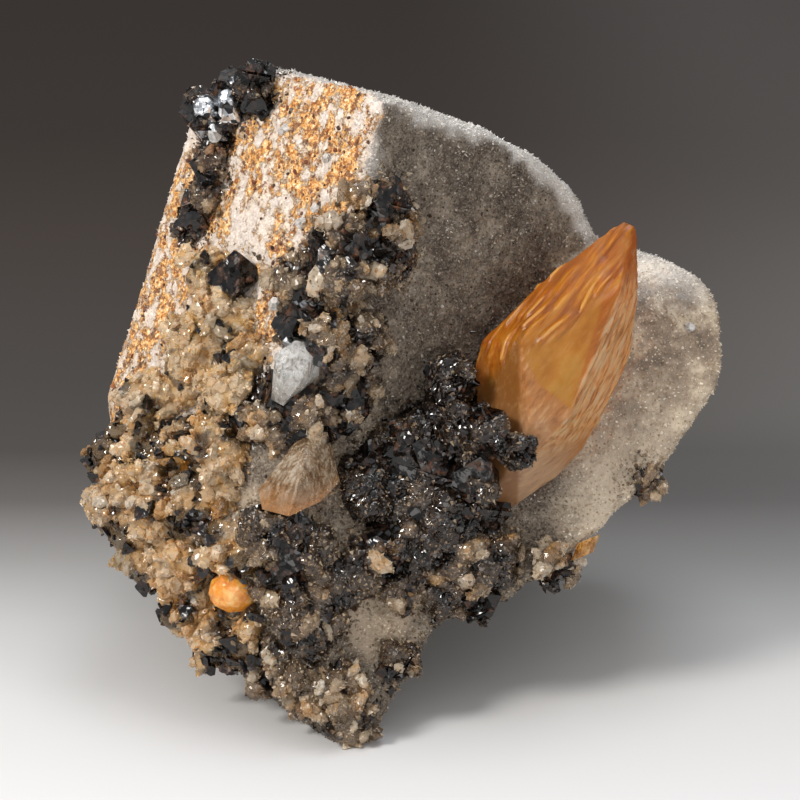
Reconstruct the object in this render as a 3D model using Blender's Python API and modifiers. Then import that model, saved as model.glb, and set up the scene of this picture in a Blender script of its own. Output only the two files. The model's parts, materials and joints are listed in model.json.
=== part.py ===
"""Calcite on sphalerite: a cleaved block of quartz-lined rock with clusters of black
sphalerite, crusts of honey calcite and one large golden calcite crystal.

The block rests on its front tip and on a broad rear foot. Dimensions are in metres,
+Z is up, and the golden crystal faces -Y.
"""
import math
import random

import bmesh
import bpy
from mathutils import Matrix, Vector, noise
from mathutils.bvhtree import BVHTree

MM = 0.001

# Driving dimensions, in millimetres.
GAP = 0.35                # clearance between grown-in pieces and the rock
ROCK_VOXEL = 2.3          # grain of the cleaved block before it is thinned
ROCK_RELIEF = 1.5         # height of the broken relief
ROCK_TRIANGLES = 1800     # faces kept on the rock
FOOT_Z = 0.0              # plane on which the block rests
RELIEF_SCALE = 0.055      # relief frequency, per millimetre

MATERIALS = {
    "rock": ((0.29, 0.25, 0.21, 1.0), 0.75),
    "sphalerite": ((0.018, 0.015, 0.014, 1.0), 0.18),
    "calcite_honey": ((0.58, 0.40, 0.18, 1.0), 0.35),
    "calcite_golden": ((0.62, 0.27, 0.06, 1.0), 0.25),
    "calcite_white": ((0.80, 0.78, 0.74, 1.0), 0.20),
    "calcite_smoky": ((0.30, 0.20, 0.11, 1.0), 0.20),
}


# Scene housekeeping
def clear_scene():
    for obj in list(bpy.data.objects):
        bpy.data.objects.remove(obj, do_unlink=True)
    for coll in list(bpy.data.collections):
        bpy.data.collections.remove(coll)
    for mesh in list(bpy.data.meshes):
        bpy.data.meshes.remove(mesh)


def new_collection(name):
    coll = bpy.data.collections.new(name)
    bpy.context.scene.collection.children.link(coll)
    return coll


def material(name):
    found = bpy.data.materials.get(name)
    if found:
        return found
    colour, rough = MATERIALS[name]
    mat = bpy.data.materials.new(name)
    mat.use_nodes = True
    shader = mat.node_tree.nodes["Principled BSDF"]
    shader.inputs["Base Color"].default_value = colour
    shader.inputs["Roughness"].default_value = rough
    mat.diffuse_color = colour
    return mat


def to_object(bm, name, coll):
    bmesh.ops.triangulate(bm, faces=bm.faces)
    bmesh.ops.recalc_face_normals(bm, faces=bm.faces)
    mesh = bpy.data.meshes.new(name)
    bm.to_mesh(mesh)
    bm.free()
    obj = bpy.data.objects.new(name, mesh)
    coll.objects.link(obj)
    return obj


def from_object(obj):
    bm = bmesh.new()
    bm.from_mesh(obj.data)
    return bm


def bake_modifiers(obj):
    """Apply an object's modifiers to its mesh."""
    bpy.context.view_layer.update()
    graph = bpy.context.evaluated_depsgraph_get()
    mesh = bpy.data.meshes.new_from_object(obj.evaluated_get(graph), depsgraph=graph)
    obj.modifiers.clear()
    old = obj.data
    obj.data = mesh
    bpy.data.meshes.remove(old)


def drop(obj):
    mesh = obj.data
    bpy.data.objects.remove(obj, do_unlink=True)
    bpy.data.meshes.remove(mesh)


def combine(target, other, operation):
    """Boolean of target with one object, applied to the target."""
    mod = target.modifiers.new(operation.lower(), "BOOLEAN")
    mod.operation = operation
    mod.solver = "EXACT"
    mod.use_self = operation == "DIFFERENCE"
    mod.object = other
    bake_modifiers(target)


# Rock and crystal forms
def hull(name, corners, coll):
    """A cleaved block: the convex hull of its corners, in millimetres."""
    bm = bmesh.new()
    for corner in corners:
        bm.verts.new(Vector(corner) * MM)
    made = bmesh.ops.convex_hull(bm, input=bm.verts)
    loose = [g for g in made["geom_interior"] if isinstance(g, bmesh.types.BMVert)]
    loose += [g for g in made["geom_unused"] if isinstance(g, bmesh.types.BMVert)]
    bmesh.ops.delete(bm, geom=list(set(loose)), context="VERTS")
    return to_object(bm, name, coll)


ROCK_BLOCKS = {
    # the main block: rusty face to the left, shaded face to the right, ridge between
    "main": [
        (-4, -7, 154), (-26, -22, 77), (-34, 26, 156), (-53, 37, 141), (-62, 34, 114),
        (-77, 27, 67), (-75, 20, 58), (10, 4, 148), (20, 11, 143), (36, 20, 133),
        (46, 27, 122), (50, 32, 111), (25, 15, 92), (10, 4, 83), (-16, -15, 57),
        (-26, 66, 144), (-60, 68, 116), (-73, 62, 60), (-66, 76, 52), (-70, 40, 40),
        (-20, 90, 84), (14, 78, 124), (36, 66, 118), (48, 74, 96), (46, 84, 52),
    ],
    # the right lobe: a slab that rises toward the front below the valley
    "lobe": [
        (49, 32, 110), (25, 15, 92), (10, 4, 83), (-16, -15, 57),
        (63, 33, 105), (70, 29, 104), (76, 24, 102), (82, 17, 97), (82, 11, 88),
        (81, 6, 79), (75, 1, 71), (65, -6, 59), (47, -14, 44), (38, -17, 37),
        (25, -20, 29), (10, -22, 25), (60, 78, 96), (78, 66, 82), (74, 62, 52),
        (54, 74, 34), (28, 70, 22), (0, 50, 30), (-16, 30, 40),
    ],
    # the lower front mass that narrows to the tip
    "front": [
        (-26, -22, 77), (-16, -15, 57), (-75, 20, 58), (-78, 6, 52), (-77, 2, 44),
        (-60, -8, 26), (-41, -20, 12), (-26, -29, 4), (-16, -38, -2), (-9, -37, -2),
        (-6, -29, 11), (1, -22, 20), (10, -22, 25), (-36, -26, 57), (-24, -34, 33),
        (-50, -8, 66), (-9, -12, -2), (-3, 16, -2), (-44, 14, -2), (-27, -14, -2),
        (-60, 40, 20), (0, 30, 40),
    ],
    # the rear mass with the broad hidden foot
    "rear": [
        (-44, 14, -2), (-60, 60, -2), (-50, 84, -2), (26, 86, -2), (36, 76, -2),
        (22, 52, -2), (6, 36, -2), (-4, 16, -2), (-73, 62, 58), (-74, 36, 52),
        (-66, 80, 48), (-34, 95, 44), (14, 97, 54), (46, 86, 62), (48, 74, 58),
        (-10, 10, 60), (20, 30, 50),
    ],
}


def relief(point):
    """Height of the broken surface at a point, from -1 to 1: plates, pits and grain."""
    p = Vector(point) / MM * RELIEF_SCALE
    broad = noise.noise(p)
    cells = noise.voronoi(p * 1.9)[0]
    plates = (cells[1] - cells[0]) * 1.6 - 0.5
    fine = noise.noise(p * 4.3)
    return 0.45 * broad + 0.35 * plates + 0.3 * fine


def make_rock(coll, cutters):
    blocks = [hull(name, corners, cutters) for name, corners in ROCK_BLOCKS.items()]
    rock = blocks[0]
    for other in blocks[1:]:
        combine(rock, other, "UNION")
        drop(other)
    cutters.objects.unlink(rock)
    coll.objects.link(rock)
    rock.name = "matrix_rock"
    rock.data.name = "matrix_rock"
    mod = rock.modifiers.new("grain", "REMESH")
    mod.mode = "VOXEL"
    mod.voxel_size = ROCK_VOXEL * MM
    bake_modifiers(rock)
    bm = from_object(rock)
    bmesh.ops.smooth_vert(bm, verts=bm.verts, factor=0.5, use_axis_x=True,
                          use_axis_y=True, use_axis_z=True)
    bm.normal_update()
    for vert in bm.verts:
        hidden = max(0.0, min(1.0, (vert.co.y / MM - 30.0) / 30.0))
        height = ROCK_RELIEF * (0.55 + 0.75 * hidden)
        vert.co += vert.normal * relief(vert.co) * height * MM
    bm.to_mesh(rock.data)
    bm.free()
    mod = rock.modifiers.new("thin", "DECIMATE")
    mod.ratio = ROCK_TRIANGLES / (2.0 * len(rock.data.polygons))
    bake_modifiers(rock)
    bm = from_object(rock)
    cut = bmesh.ops.bisect_plane(bm, geom=list(bm.verts) + list(bm.edges) + list(bm.faces),
                                 plane_co=(0, 0, FOOT_Z * MM), plane_no=(0, 0, -1),
                                 clear_outer=True, dist=1e-7)
    edges = [g for g in cut["geom_cut"] if isinstance(g, bmesh.types.BMEdge)]
    bmesh.ops.holes_fill(bm, edges=edges)
    bmesh.ops.triangulate(bm, faces=bm.faces)
    bmesh.ops.recalc_face_normals(bm, faces=bm.faces)
    bm.to_mesh(rock.data)
    bm.free()
    rock.data.materials.append(material("rock"))
    return rock


GOLDEN_CORNERS = [
    # tip, left edge and lower end
    (55.5, 8, 120), (58.5, 8, 118.5), (49, 6, 116), (35, 2, 106), (25, -2, 97),
    (20, -4, 92.5), (18.5, -6, 87), (21, -8, 81), (21.5, -12, 65), (18, -14, 57.5),
    (18.5, -16, 51), (27, -16, 53), (38.5, -12, 59.5), (45.5, -8, 66),
    # right end of the girdle and right edge
    (50.5, -5, 75.5), (50.5, -5, 77.5), (53, -4, 81), (56.5, -1, 87), (57.5, 1, 94.5),
    (58.5, 3, 101),
    # front of the girdle and the facets above it
    (38.5, -20, 76.5), (33, -22, 70.5), (27, -21, 66), (33.5, -22, 86), (44, -16, 90),
    (47, -11, 97.5), (54.5, -1, 103.5), (29.5, -13, 93), (39, -10, 100),
    # back of the crystal
    (41, 10, 73), (51, 16, 89), (36, 6, 64), (25, 2, 70), (25, -2, 56), (50.5, 16, 102),
]


def grown_copy(obj, cutters, reach=GAP):
    """A copy of a solid whose surface is pushed out by reach millimetres."""
    bm = from_object(obj)
    bm.normal_update()
    moves = []
    for vert in bm.verts:
        normals = [face.normal for face in vert.link_faces]
        push = vert.normal.copy()
        lean = min(push.dot(normal) for normal in normals)
        moves.append(push * (reach * MM / max(0.45, lean)))
    for vert, move in zip(bm.verts, moves):
        vert.co += move
    return to_object(bm, obj.name + "_grown", cutters)


def keep_largest(obj):
    """Drop the loose chips that a cut leaves and keep the largest solid."""
    bm = from_object(obj)
    unseen = set(bm.verts)
    shells = []
    while unseen:
        seed = unseen.pop()
        shell = {seed}
        front = [seed]
        while front:
            vert = front.pop()
            for edge in vert.link_edges:
                other = edge.other_vert(vert)
                if other in unseen:
                    unseen.discard(other)
                    shell.add(other)
                    front.append(other)
        shells.append(shell)
    sizes = []
    for shell in shells:
        faces = {face for vert in shell for face in vert.link_faces}
        volume = 0.0
        for face in faces:
            a = face.verts[0].co
            for b, c in zip(face.verts[1:], face.verts[2:]):
                volume += a.dot(b.co.cross(c.co)) / 6.0
        sizes.append(volume)
    best = max(range(len(shells)), key=lambda i: sizes[i])
    doomed = [vert for i, shell in enumerate(shells) if i != best for vert in shell]
    bmesh.ops.delete(bm, geom=doomed, context="VERTS")
    bm.to_mesh(obj.data)
    bm.free()


def trim(obj):
    """Weld the slivers that the cuts leave, well below the clearance."""
    bm = from_object(obj)
    bmesh.ops.remove_doubles(bm, verts=bm.verts, dist=0.02 * MM)
    bmesh.ops.dissolve_degenerate(bm, edges=bm.edges, dist=0.005 * MM)
    loose = [vert for vert in bm.verts if not vert.link_faces]
    bmesh.ops.delete(bm, geom=loose, context="VERTS")
    bmesh.ops.triangulate(bm, faces=bm.faces)
    bmesh.ops.recalc_face_normals(bm, faces=bm.faces)
    bm.to_mesh(obj.data)
    bm.free()


# Crystals
def octant(signs):
    return [Vector(s).normalized() for s in signs]


TETRA = octant([(1, 1, 1), (1, -1, -1), (-1, 1, -1), (-1, -1, 1)])
ANTI_TETRA = octant([(-1, -1, -1), (-1, 1, 1), (1, -1, 1), (1, 1, -1)])
CUBE = octant([(1, 0, 0), (-1, 0, 0), (0, 1, 0), (0, -1, 0), (0, 0, 1), (0, 0, -1)])


def polar(tilt, turn):
    tilt, turn = math.radians(tilt), math.radians(turn)
    return Vector((math.sin(tilt) * math.cos(turn), math.sin(tilt) * math.sin(turn),
                   math.cos(tilt)))


def habit_planes(habit, rng):
    """Face normals of a crystal habit and their distances from its centre."""
    if habit == "sphalerite":
        planes = [(n, rng.uniform(0.46, 0.58)) for n in TETRA]
        planes += [(n, rng.uniform(0.60, 0.76)) for n in ANTI_TETRA]
        return planes
    if habit == "rhomb":
        planes = [(polar(44.6, 120 * k), rng.uniform(0.62, 0.72)) for k in range(3)]
        planes += [(polar(135.4, 60 + 120 * k), rng.uniform(0.62, 0.72)) for k in range(3)]
        return planes
    if habit == "dogtooth":
        planes = [(polar(66, 60 * k + 11 * (-1) ** k), 0.5) for k in range(6)]
        planes += [(polar(114, 60 * k - 11 * (-1) ** k), 0.5) for k in range(6)]
        return planes
    planes = []
    count = 8
    for k in range(count):
        height = 1 - 2 * (k + 0.5) / count
        turn = 137.5 * k + rng.uniform(-14, 14)
        planes.append((polar(math.degrees(math.acos(height)), turn), rng.uniform(0.7, 0.88)))
    return planes


def crystal(habit, centre, size, turn, rng, coll, squash=1.0, along=None):
    """A cube cut back by the faces of its habit. Lengths are in millimetres."""
    bm = bmesh.new()
    bmesh.ops.create_cube(bm, size=3.2)
    for normal, distance in habit_planes(habit, rng):
        geom = list(bm.verts) + list(bm.edges) + list(bm.faces)
        cut = bmesh.ops.bisect_plane(bm, geom=geom, plane_co=normal * distance,
                                     plane_no=normal, clear_outer=True, dist=1e-6)
        edges = [g for g in cut["geom_cut"] if isinstance(g, bmesh.types.BMEdge)]
        if len(edges) > 2:
            bmesh.ops.edgeloop_fill(bm, edges=edges)
    matrix = turn.to_4x4()
    if along is not None:
        lean = along.to_track_quat("Z", "Y").to_matrix().to_4x4()
        matrix = lean @ Matrix.Diagonal((1, 1, squash, 1)) @ lean.inverted() @ matrix
    matrix = Matrix.Translation(Vector(centre) * MM) @ Matrix.Scale(size * MM, 4) @ matrix
    bm.transform(matrix)
    return to_object(bm, "crystal", coll)


def random_turn(rng):
    axis = Vector((rng.gauss(0, 1), rng.gauss(0, 1), rng.gauss(0, 1))).normalized()
    return Matrix.Rotation(rng.uniform(0, math.tau), 3, axis)


class Ground:
    """The rock's surface, as a place for crystals to grow."""

    def __init__(self, rock):
        bpy.context.view_layer.update()
        graph = bpy.context.evaluated_depsgraph_get()
        self.tree = BVHTree.FromObject(rock, graph)

    def site(self, point):
        """The nearest place on the rock and its outward normal; point in millimetres."""
        place, normal, _, _ = self.tree.find_nearest(Vector(point) * MM)
        return place / MM, normal


def cluster(name, finish, ground, spec, coll, cutters, in_place):
    """Intergrown crystals on a crust that follows a list of stations on the rock."""
    rng = random.Random(spec["seed"])
    parts = []
    for station in spec["stations"]:
        place, normal = ground.site(station[:3])
        radius = station[3]
        parts.append(crystal("lump", place, radius * 1.25, random_turn(rng), rng, cutters,
                             squash=spec.get("crust", 0.5), along=normal))
    small, large = spec["sizes"]
    for k in range(spec["count"]):
        station = spec["stations"][k % len(spec["stations"])]
        reach = station[3] * 1.05
        step = Vector([rng.uniform(-reach, reach) for _ in range(3)])
        place, normal = ground.site(Vector(station[:3]) + step)
        size = rng.uniform(small, large)
        centre = place + normal * size * spec.get("stand", 0.35)
        parts.append(crystal(spec["habit"], centre, size, random_turn(rng), rng, cutters))
    for habit, centre, size in spec.get("crystals", []):
        parts.append(crystal(habit, centre, size, random_turn(rng), rng, cutters))
    body = parts[0]
    for other in parts[1:]:
        combine(body, other, "UNION")
        drop(other)
    return place_piece(body, name, finish, coll, cutters, in_place)


def overlaps(a, b):
    """Whether the boxes of two solids meet."""
    low_a, high_a = box(a)
    low_b, high_b = box(b)
    return all(low_a[i] < high_b[i] and low_b[i] < high_a[i] for i in range(3))


def box(obj):
    points = [vert.co for vert in obj.data.vertices]
    low = [min(p[i] for p in points) for i in range(3)]
    high = [max(p[i] for p in points) for i in range(3)]
    return low, high


def cut_flat(obj, height=0.0):
    """Remove whatever reaches below the plane on which the block rests."""
    bm = from_object(obj)
    geom = list(bm.verts) + list(bm.edges) + list(bm.faces)
    cut = bmesh.ops.bisect_plane(bm, geom=geom, plane_co=(0, 0, height * MM),
                                 plane_no=(0, 0, -1), clear_outer=True, dist=1e-7)
    edges = [g for g in cut["geom_cut"] if isinstance(g, bmesh.types.BMEdge)]
    if edges:
        bmesh.ops.holes_fill(bm, edges=edges)
    bmesh.ops.triangulate(bm, faces=bm.faces)
    bmesh.ops.recalc_face_normals(bm, faces=bm.faces)
    bm.to_mesh(obj.data)
    bm.free()


def place_piece(obj, name, finish, coll, cutters, in_place):
    """Name a finished form, seat it against its neighbours and keep a grown copy."""
    obj.name = name
    obj.data.name = name
    if obj.name not in coll.objects:
        cutters.objects.unlink(obj)
        coll.objects.link(obj)
    for grown in in_place:
        if overlaps(obj, grown):
            combine(obj, grown, "DIFFERENCE")
    if box(obj)[0][2] < 0.0:
        cut_flat(obj, 0.6)
    trim(obj)
    keep_largest(obj)
    obj.data.materials.clear()
    obj.data.materials.append(material(finish))
    in_place.append(grown_copy(obj, cutters))
    return obj


# Crystals with faces of their own, given by their corners: name, finish, corners.
CORNERED_CRYSTALS = [
    ("calcite_white", "calcite_white", [
        (-25, -20, 97.5), (-19.5, -19, 96), (-24, -25, 88), (-28, -23, 82), (-31, -21, 83),
        (-29, -25, 90), (-30, -20, 94), (-19, -17, 88), (-26, -12, 95), (-20, -12, 92),
        (-28, -12, 84), (-30, -12, 90),
    ]),
    ("calcite_smoky", "calcite_smoky", [
        (-23, -23, 76), (-17.5, -22, 75), (-17, -25, 70), (-14.5, -25, 63.5), (-19, -31, 60.5),
        (-26.5, -33, 57.5), (-33, -31, 58.5), (-34, -28, 62.5), (-30, -28, 67.5),
        (-23, -31, 70.5), (-23.5, -35, 67), (-22, -16, 72), (-18, -14, 64), (-28, -20, 60),
        (-30, -20, 66),
    ]),
]

# Single crystals: name, finish, habit, centre, size, direction of the long axis, stretch.
SINGLE_CRYSTALS = [
    ("sphalerite_pyramid", "sphalerite", "sphalerite", (-40.5, 4.5, 106.5), 8.0, (0, -0.3, 1), 1.0),
    ("calcite_orange", "calcite_golden", "lump", (-43.5, -25.0, 32.0), 5.6, (-0.6, -0.8, 0.1), 0.75),
    ("calcite_amber_left", "calcite_golden", "dogtooth", (-54.0, -9.5, 62.0), 4.6, (1, 0, -0.2), 1.3),
    ("calcite_amber_right", "calcite_golden", "dogtooth", (46.0, -15.5, 42.5), 3.4, (-0.7, 0, -0.7), 1.2),
]

# Clusters: stations are (x, y, z, radius) on the rock, in millimetres.
CLUSTERS = [
    ("sphalerite_crown", "sphalerite", {
        "seed": 11, "habit": "sphalerite", "count": 2, "sizes": (3.8, 5.0),
        "stations": [(-38, 26, 149, 6), (-45, 29, 143, 6.5)],
        "crystals": [("sphalerite", (-36, 23, 151.5), 7.2), ("sphalerite", (-49, 30, 142), 8.0),
                     ("sphalerite", (-42, 28, 150.5), 5.0)],
    }),
    ("sphalerite_left", "sphalerite", {
        "seed": 12, "habit": "sphalerite", "count": 5, "sizes": (2.6, 4.2),
        "stations": [(-47, 27, 131, 5), (-49, 25, 124, 5), (-52, 25, 116, 5)],
    }),
    ("sphalerite_ridge", "sphalerite", {
        "seed": 13, "habit": "sphalerite", "count": 9, "sizes": (3.6, 5.4),
        "stations": [(-3, -7, 125, 6), (-2, -6, 117, 6), (-9, -11, 120, 6.5),
                     (-16, -12, 114, 6.5), (-25, -8, 109, 6)],
    }),
    ("sphalerite_middle", "sphalerite", {
        "seed": 14, "habit": "sphalerite", "count": 6, "sizes": (4.4, 6.4),
        "stations": [(-21, -15, 99, 7), (-12, -13, 92, 7), (-14, -14, 82, 7.5),
                     (-26, -17, 79, 7.5), (-34, -13, 78, 6)],
    }),
    ("calcite_druse_upper", "calcite_honey", {
        "seed": 15, "habit": "lump", "count": 8, "sizes": (3.8, 5.6),
        "stations": [(-46, 12, 103, 5), (-44, 5, 95, 7), (-51, 9, 87, 7), (-39, -4, 87, 7),
                     (-42, -4, 79, 7), (-55, 9, 78, 6)],
    }),
    ("calcite_druse_left", "calcite_honey", {
        "seed": 16, "habit": "lump", "count": 6, "sizes": (4.6, 6.4),
        "stations": [(-66, 13, 66, 6.5), (-69, 9, 57, 6.5), (-65, 0, 57, 8), (-55, -3, 63, 8),
                     (-46, -12, 67, 7), (-66, -4, 46, 7), (-58, -10, 48, 7.5), (-47, -17, 54, 8)],
    }),
    ("calcite_druse_lower", "calcite_honey", {
        "seed": 17, "habit": "lump", "count": 7, "sizes": (3.8, 5.6),
        "stations": [(-61, -8, 37, 6.5), (-53, -14, 38, 7.5), (-41, -22, 44, 8), (-52, -14, 28, 6.5),
                     (-41, -22, 26, 7.5), (-44, -19, 18, 4.5)],
    }),
    ("sphalerite_front", "sphalerite", {
        "seed": 18, "habit": "sphalerite", "count": 6, "sizes": (3.6, 5.4),
        "stations": [(-31, -28, 52, 6), (-23, -30, 45, 6.5), (-29, -31, 37, 6.5), (-21, -33, 29, 6.5)],
    }),
    ("sphalerite_valley", "sphalerite", {
        "seed": 19, "habit": "sphalerite", "count": 10, "sizes": (4.4, 7.0), "crust": 0.75,
        "stations": [(14, -1, 78, 7.5), (10, -6, 69, 8.5), (0, -9, 63, 8.5), (-10, -14, 57, 8),
                     (4, -14, 54, 9), (14, -14, 55, 8.5), (9, -16, 45, 9), (-4, -20, 46, 7.5)],
        "crystals": [("sphalerite", (13, -6, 83), 8.4), ("sphalerite", (16, -15, 74), 8.0),
                     ("sphalerite", (22, -21, 73), 7.6), ("sphalerite", (29, -24, 71), 5.2),
                     ("sphalerite", (19, -19, 62), 7.4)],
    }),
    ("sphalerite_under", "sphalerite", {
        "seed": 20, "habit": "sphalerite", "count": 7, "sizes": (3.6, 5.4),
        "stations": [(-11, -27, 40, 6.5), (0, -21, 37, 7), (10, -20, 35, 7), (20, -18, 39, 7),
                     (18, -20, 32, 5)],
    }),
    ("sphalerite_foot", "sphalerite", {
        "seed": 21, "habit": "sphalerite", "count": 8, "sizes": (3.0, 4.8),
        "stations": [(-32, -28, 17, 5.5), (-24, -33, 12, 5.5), (-14, -36, 12, 5.5),
                     (-13, -36, 5, 5)],
    }),
    ("sphalerite_drop", "sphalerite", {
        "seed": 22, "habit": "sphalerite", "count": 2, "sizes": (3.0, 4.0),
        "stations": [(-1, -27, 17, 4)],
    }),
    ("sphalerite_lobe", "sphalerite", {
        "seed": 23, "habit": "sphalerite", "count": 2, "sizes": (3.0, 4.2),
        "stations": [(39, -16, 37, 4.5)],
    }),
    ("sphalerite_rim", "sphalerite", {
        "seed": 24, "habit": "sphalerite", "count": 1, "sizes": (2.0, 3.0),
        "stations": [(61, -7, 57, 3)],
    }),
]


def stand_on_origin(coll):
    """Move every solid so that the origin is the centre of the foot of their common box."""
    boxes = [box(obj) for obj in coll.objects]
    low = [min(b[0][i] for b in boxes) for i in range(3)]
    high = [max(b[1][i] for b in boxes) for i in range(3)]
    shift = Vector((-(low[0] + high[0]) / 2, -(low[1] + high[1]) / 2, -low[2]))
    for obj in coll.objects:
        obj.data.transform(Matrix.Translation(shift))
    return shift


def main():
    clear_scene()
    coll = new_collection("calcite_on_sphalerite")
    cutters = new_collection("cutters")
    cutters.hide_render = True
    rock = make_rock(coll, cutters)
    ground = Ground(rock)
    in_place = [grown_copy(rock, cutters)]
    golden = hull("calcite_golden", GOLDEN_CORNERS, cutters)
    place_piece(golden, "calcite_golden", "calcite_golden", coll, cutters, in_place)
    for name, finish, corners in CORNERED_CRYSTALS:
        form = hull(name, corners, cutters)
        place_piece(form, name, finish, coll, cutters, in_place)
    for name, finish, habit, centre, size, axis, stretch in SINGLE_CRYSTALS:
        axis = Vector(axis).normalized()
        turn = axis.to_track_quat("Z", "Y").to_matrix()
        form = crystal(habit, centre, size, turn, random.Random(name), cutters,
                       squash=stretch, along=axis)
        place_piece(form, name, finish, coll, cutters, in_place)
    for name, finish, spec in CLUSTERS:
        cluster(name, finish, ground, spec, coll, cutters, in_place)
    for obj in cutters.objects:
        obj.display_type = "WIRE"
        obj.hide_render = True
    return stand_on_origin(coll)


SHIFT = main()
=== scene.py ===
# %% [markdown]
# # Calcite on sphalerite
# A cleaved block of grey rock, lined with fine quartz, carries clusters of black sphalerite,
# crusts of honey-coloured calcite and one large golden calcite crystal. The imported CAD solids
# are the frame. Each piece below sits on one of them or takes its place, from the light and
# the big forms down to grains less than a millimetre long.

# %% Load the frame
import json
import math
from contextlib import contextmanager

import bpy
from mathutils import Matrix, Vector, noise
from mathutils.bvhtree import BVHTree

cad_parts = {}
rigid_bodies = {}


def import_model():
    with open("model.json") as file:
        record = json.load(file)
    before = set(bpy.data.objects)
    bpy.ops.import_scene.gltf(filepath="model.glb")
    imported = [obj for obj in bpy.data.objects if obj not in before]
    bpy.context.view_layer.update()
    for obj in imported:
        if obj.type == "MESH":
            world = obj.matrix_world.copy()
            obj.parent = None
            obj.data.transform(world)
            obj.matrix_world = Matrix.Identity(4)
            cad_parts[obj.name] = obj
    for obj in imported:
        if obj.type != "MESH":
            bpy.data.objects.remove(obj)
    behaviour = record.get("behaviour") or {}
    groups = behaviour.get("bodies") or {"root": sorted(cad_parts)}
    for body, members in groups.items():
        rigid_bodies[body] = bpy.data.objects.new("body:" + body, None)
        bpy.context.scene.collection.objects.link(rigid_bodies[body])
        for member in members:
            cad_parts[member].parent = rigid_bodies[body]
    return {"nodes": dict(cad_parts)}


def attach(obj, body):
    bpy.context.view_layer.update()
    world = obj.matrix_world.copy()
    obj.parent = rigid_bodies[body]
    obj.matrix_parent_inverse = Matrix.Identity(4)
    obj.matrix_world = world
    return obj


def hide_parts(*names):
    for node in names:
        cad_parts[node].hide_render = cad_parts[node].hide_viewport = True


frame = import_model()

MM = 0.001
scene = bpy.context.scene
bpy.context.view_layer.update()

# %% [markdown]
# ## Writing a finish as arithmetic
# A mineral's colour is several patterns laid over each other. Wiring dozens of nodes by hand
# hides that idea, so a small class wraps a node's socket: adding or multiplying two of them
# adds the Math node that does it. One method adds any other node. The same method serves the
# Geometry Nodes that grow the crystals.

# %% Sockets that can be added and multiplied
class Wire:
    """An output socket of a node tree that takes part in arithmetic."""

    def __init__(self, tree, socket):
        self.tree = tree
        self.socket = socket

    def node(self, kind, settings=None, inputs=None, output=0):
        return add_node(self.tree, kind, settings, inputs, output)

    def maths(self, operation, *values):
        return self.node("ShaderNodeMath", {"operation": operation}, dict(enumerate(values)))

    def __add__(self, other):
        return self.maths("ADD", self, other)

    def __sub__(self, other):
        return self.maths("SUBTRACT", self, other)

    def __rsub__(self, other):
        return self.maths("SUBTRACT", other, self)

    def __mul__(self, other):
        return self.maths("MULTIPLY", self, other)

    def __pow__(self, other):
        return self.maths("POWER", self, other)

    __radd__ = __add__
    __rmul__ = __mul__

    def between(self, low, high):
        """0 below low, 1 above high, and a smooth rise from one to the other."""
        return self.node("ShaderNodeMapRange", {"interpolation_type": "SMOOTHSTEP"},
                         {"Value": self, "From Min": low, "From Max": high})


def add_node(tree, kind, settings=None, inputs=None, output=0):
    """Add a node, set it up, then give its sockets their values or links."""
    made = tree.nodes.new(kind)
    for name, value in (settings or {}).items():
        setattr(made, name, value)
    for name, value in (inputs or {}).items():
        if isinstance(value, Wire):
            tree.links.new(value.socket, made.inputs[name])
        else:
            made.inputs[name].default_value = value
    return Wire(tree, made.outputs[output]) if len(made.outputs) else None


def rgb(code):
    """Linear colour of a screen colour such as 'c07f30'."""
    parts = [int(code[i:i + 2], 16) / 255 for i in (0, 2, 4)]
    linear = [c / 12.92 if c <= 0.04045 else ((c + 0.055) / 1.055) ** 2.4 for c in parts]
    return (*linear, 1.0)


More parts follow.
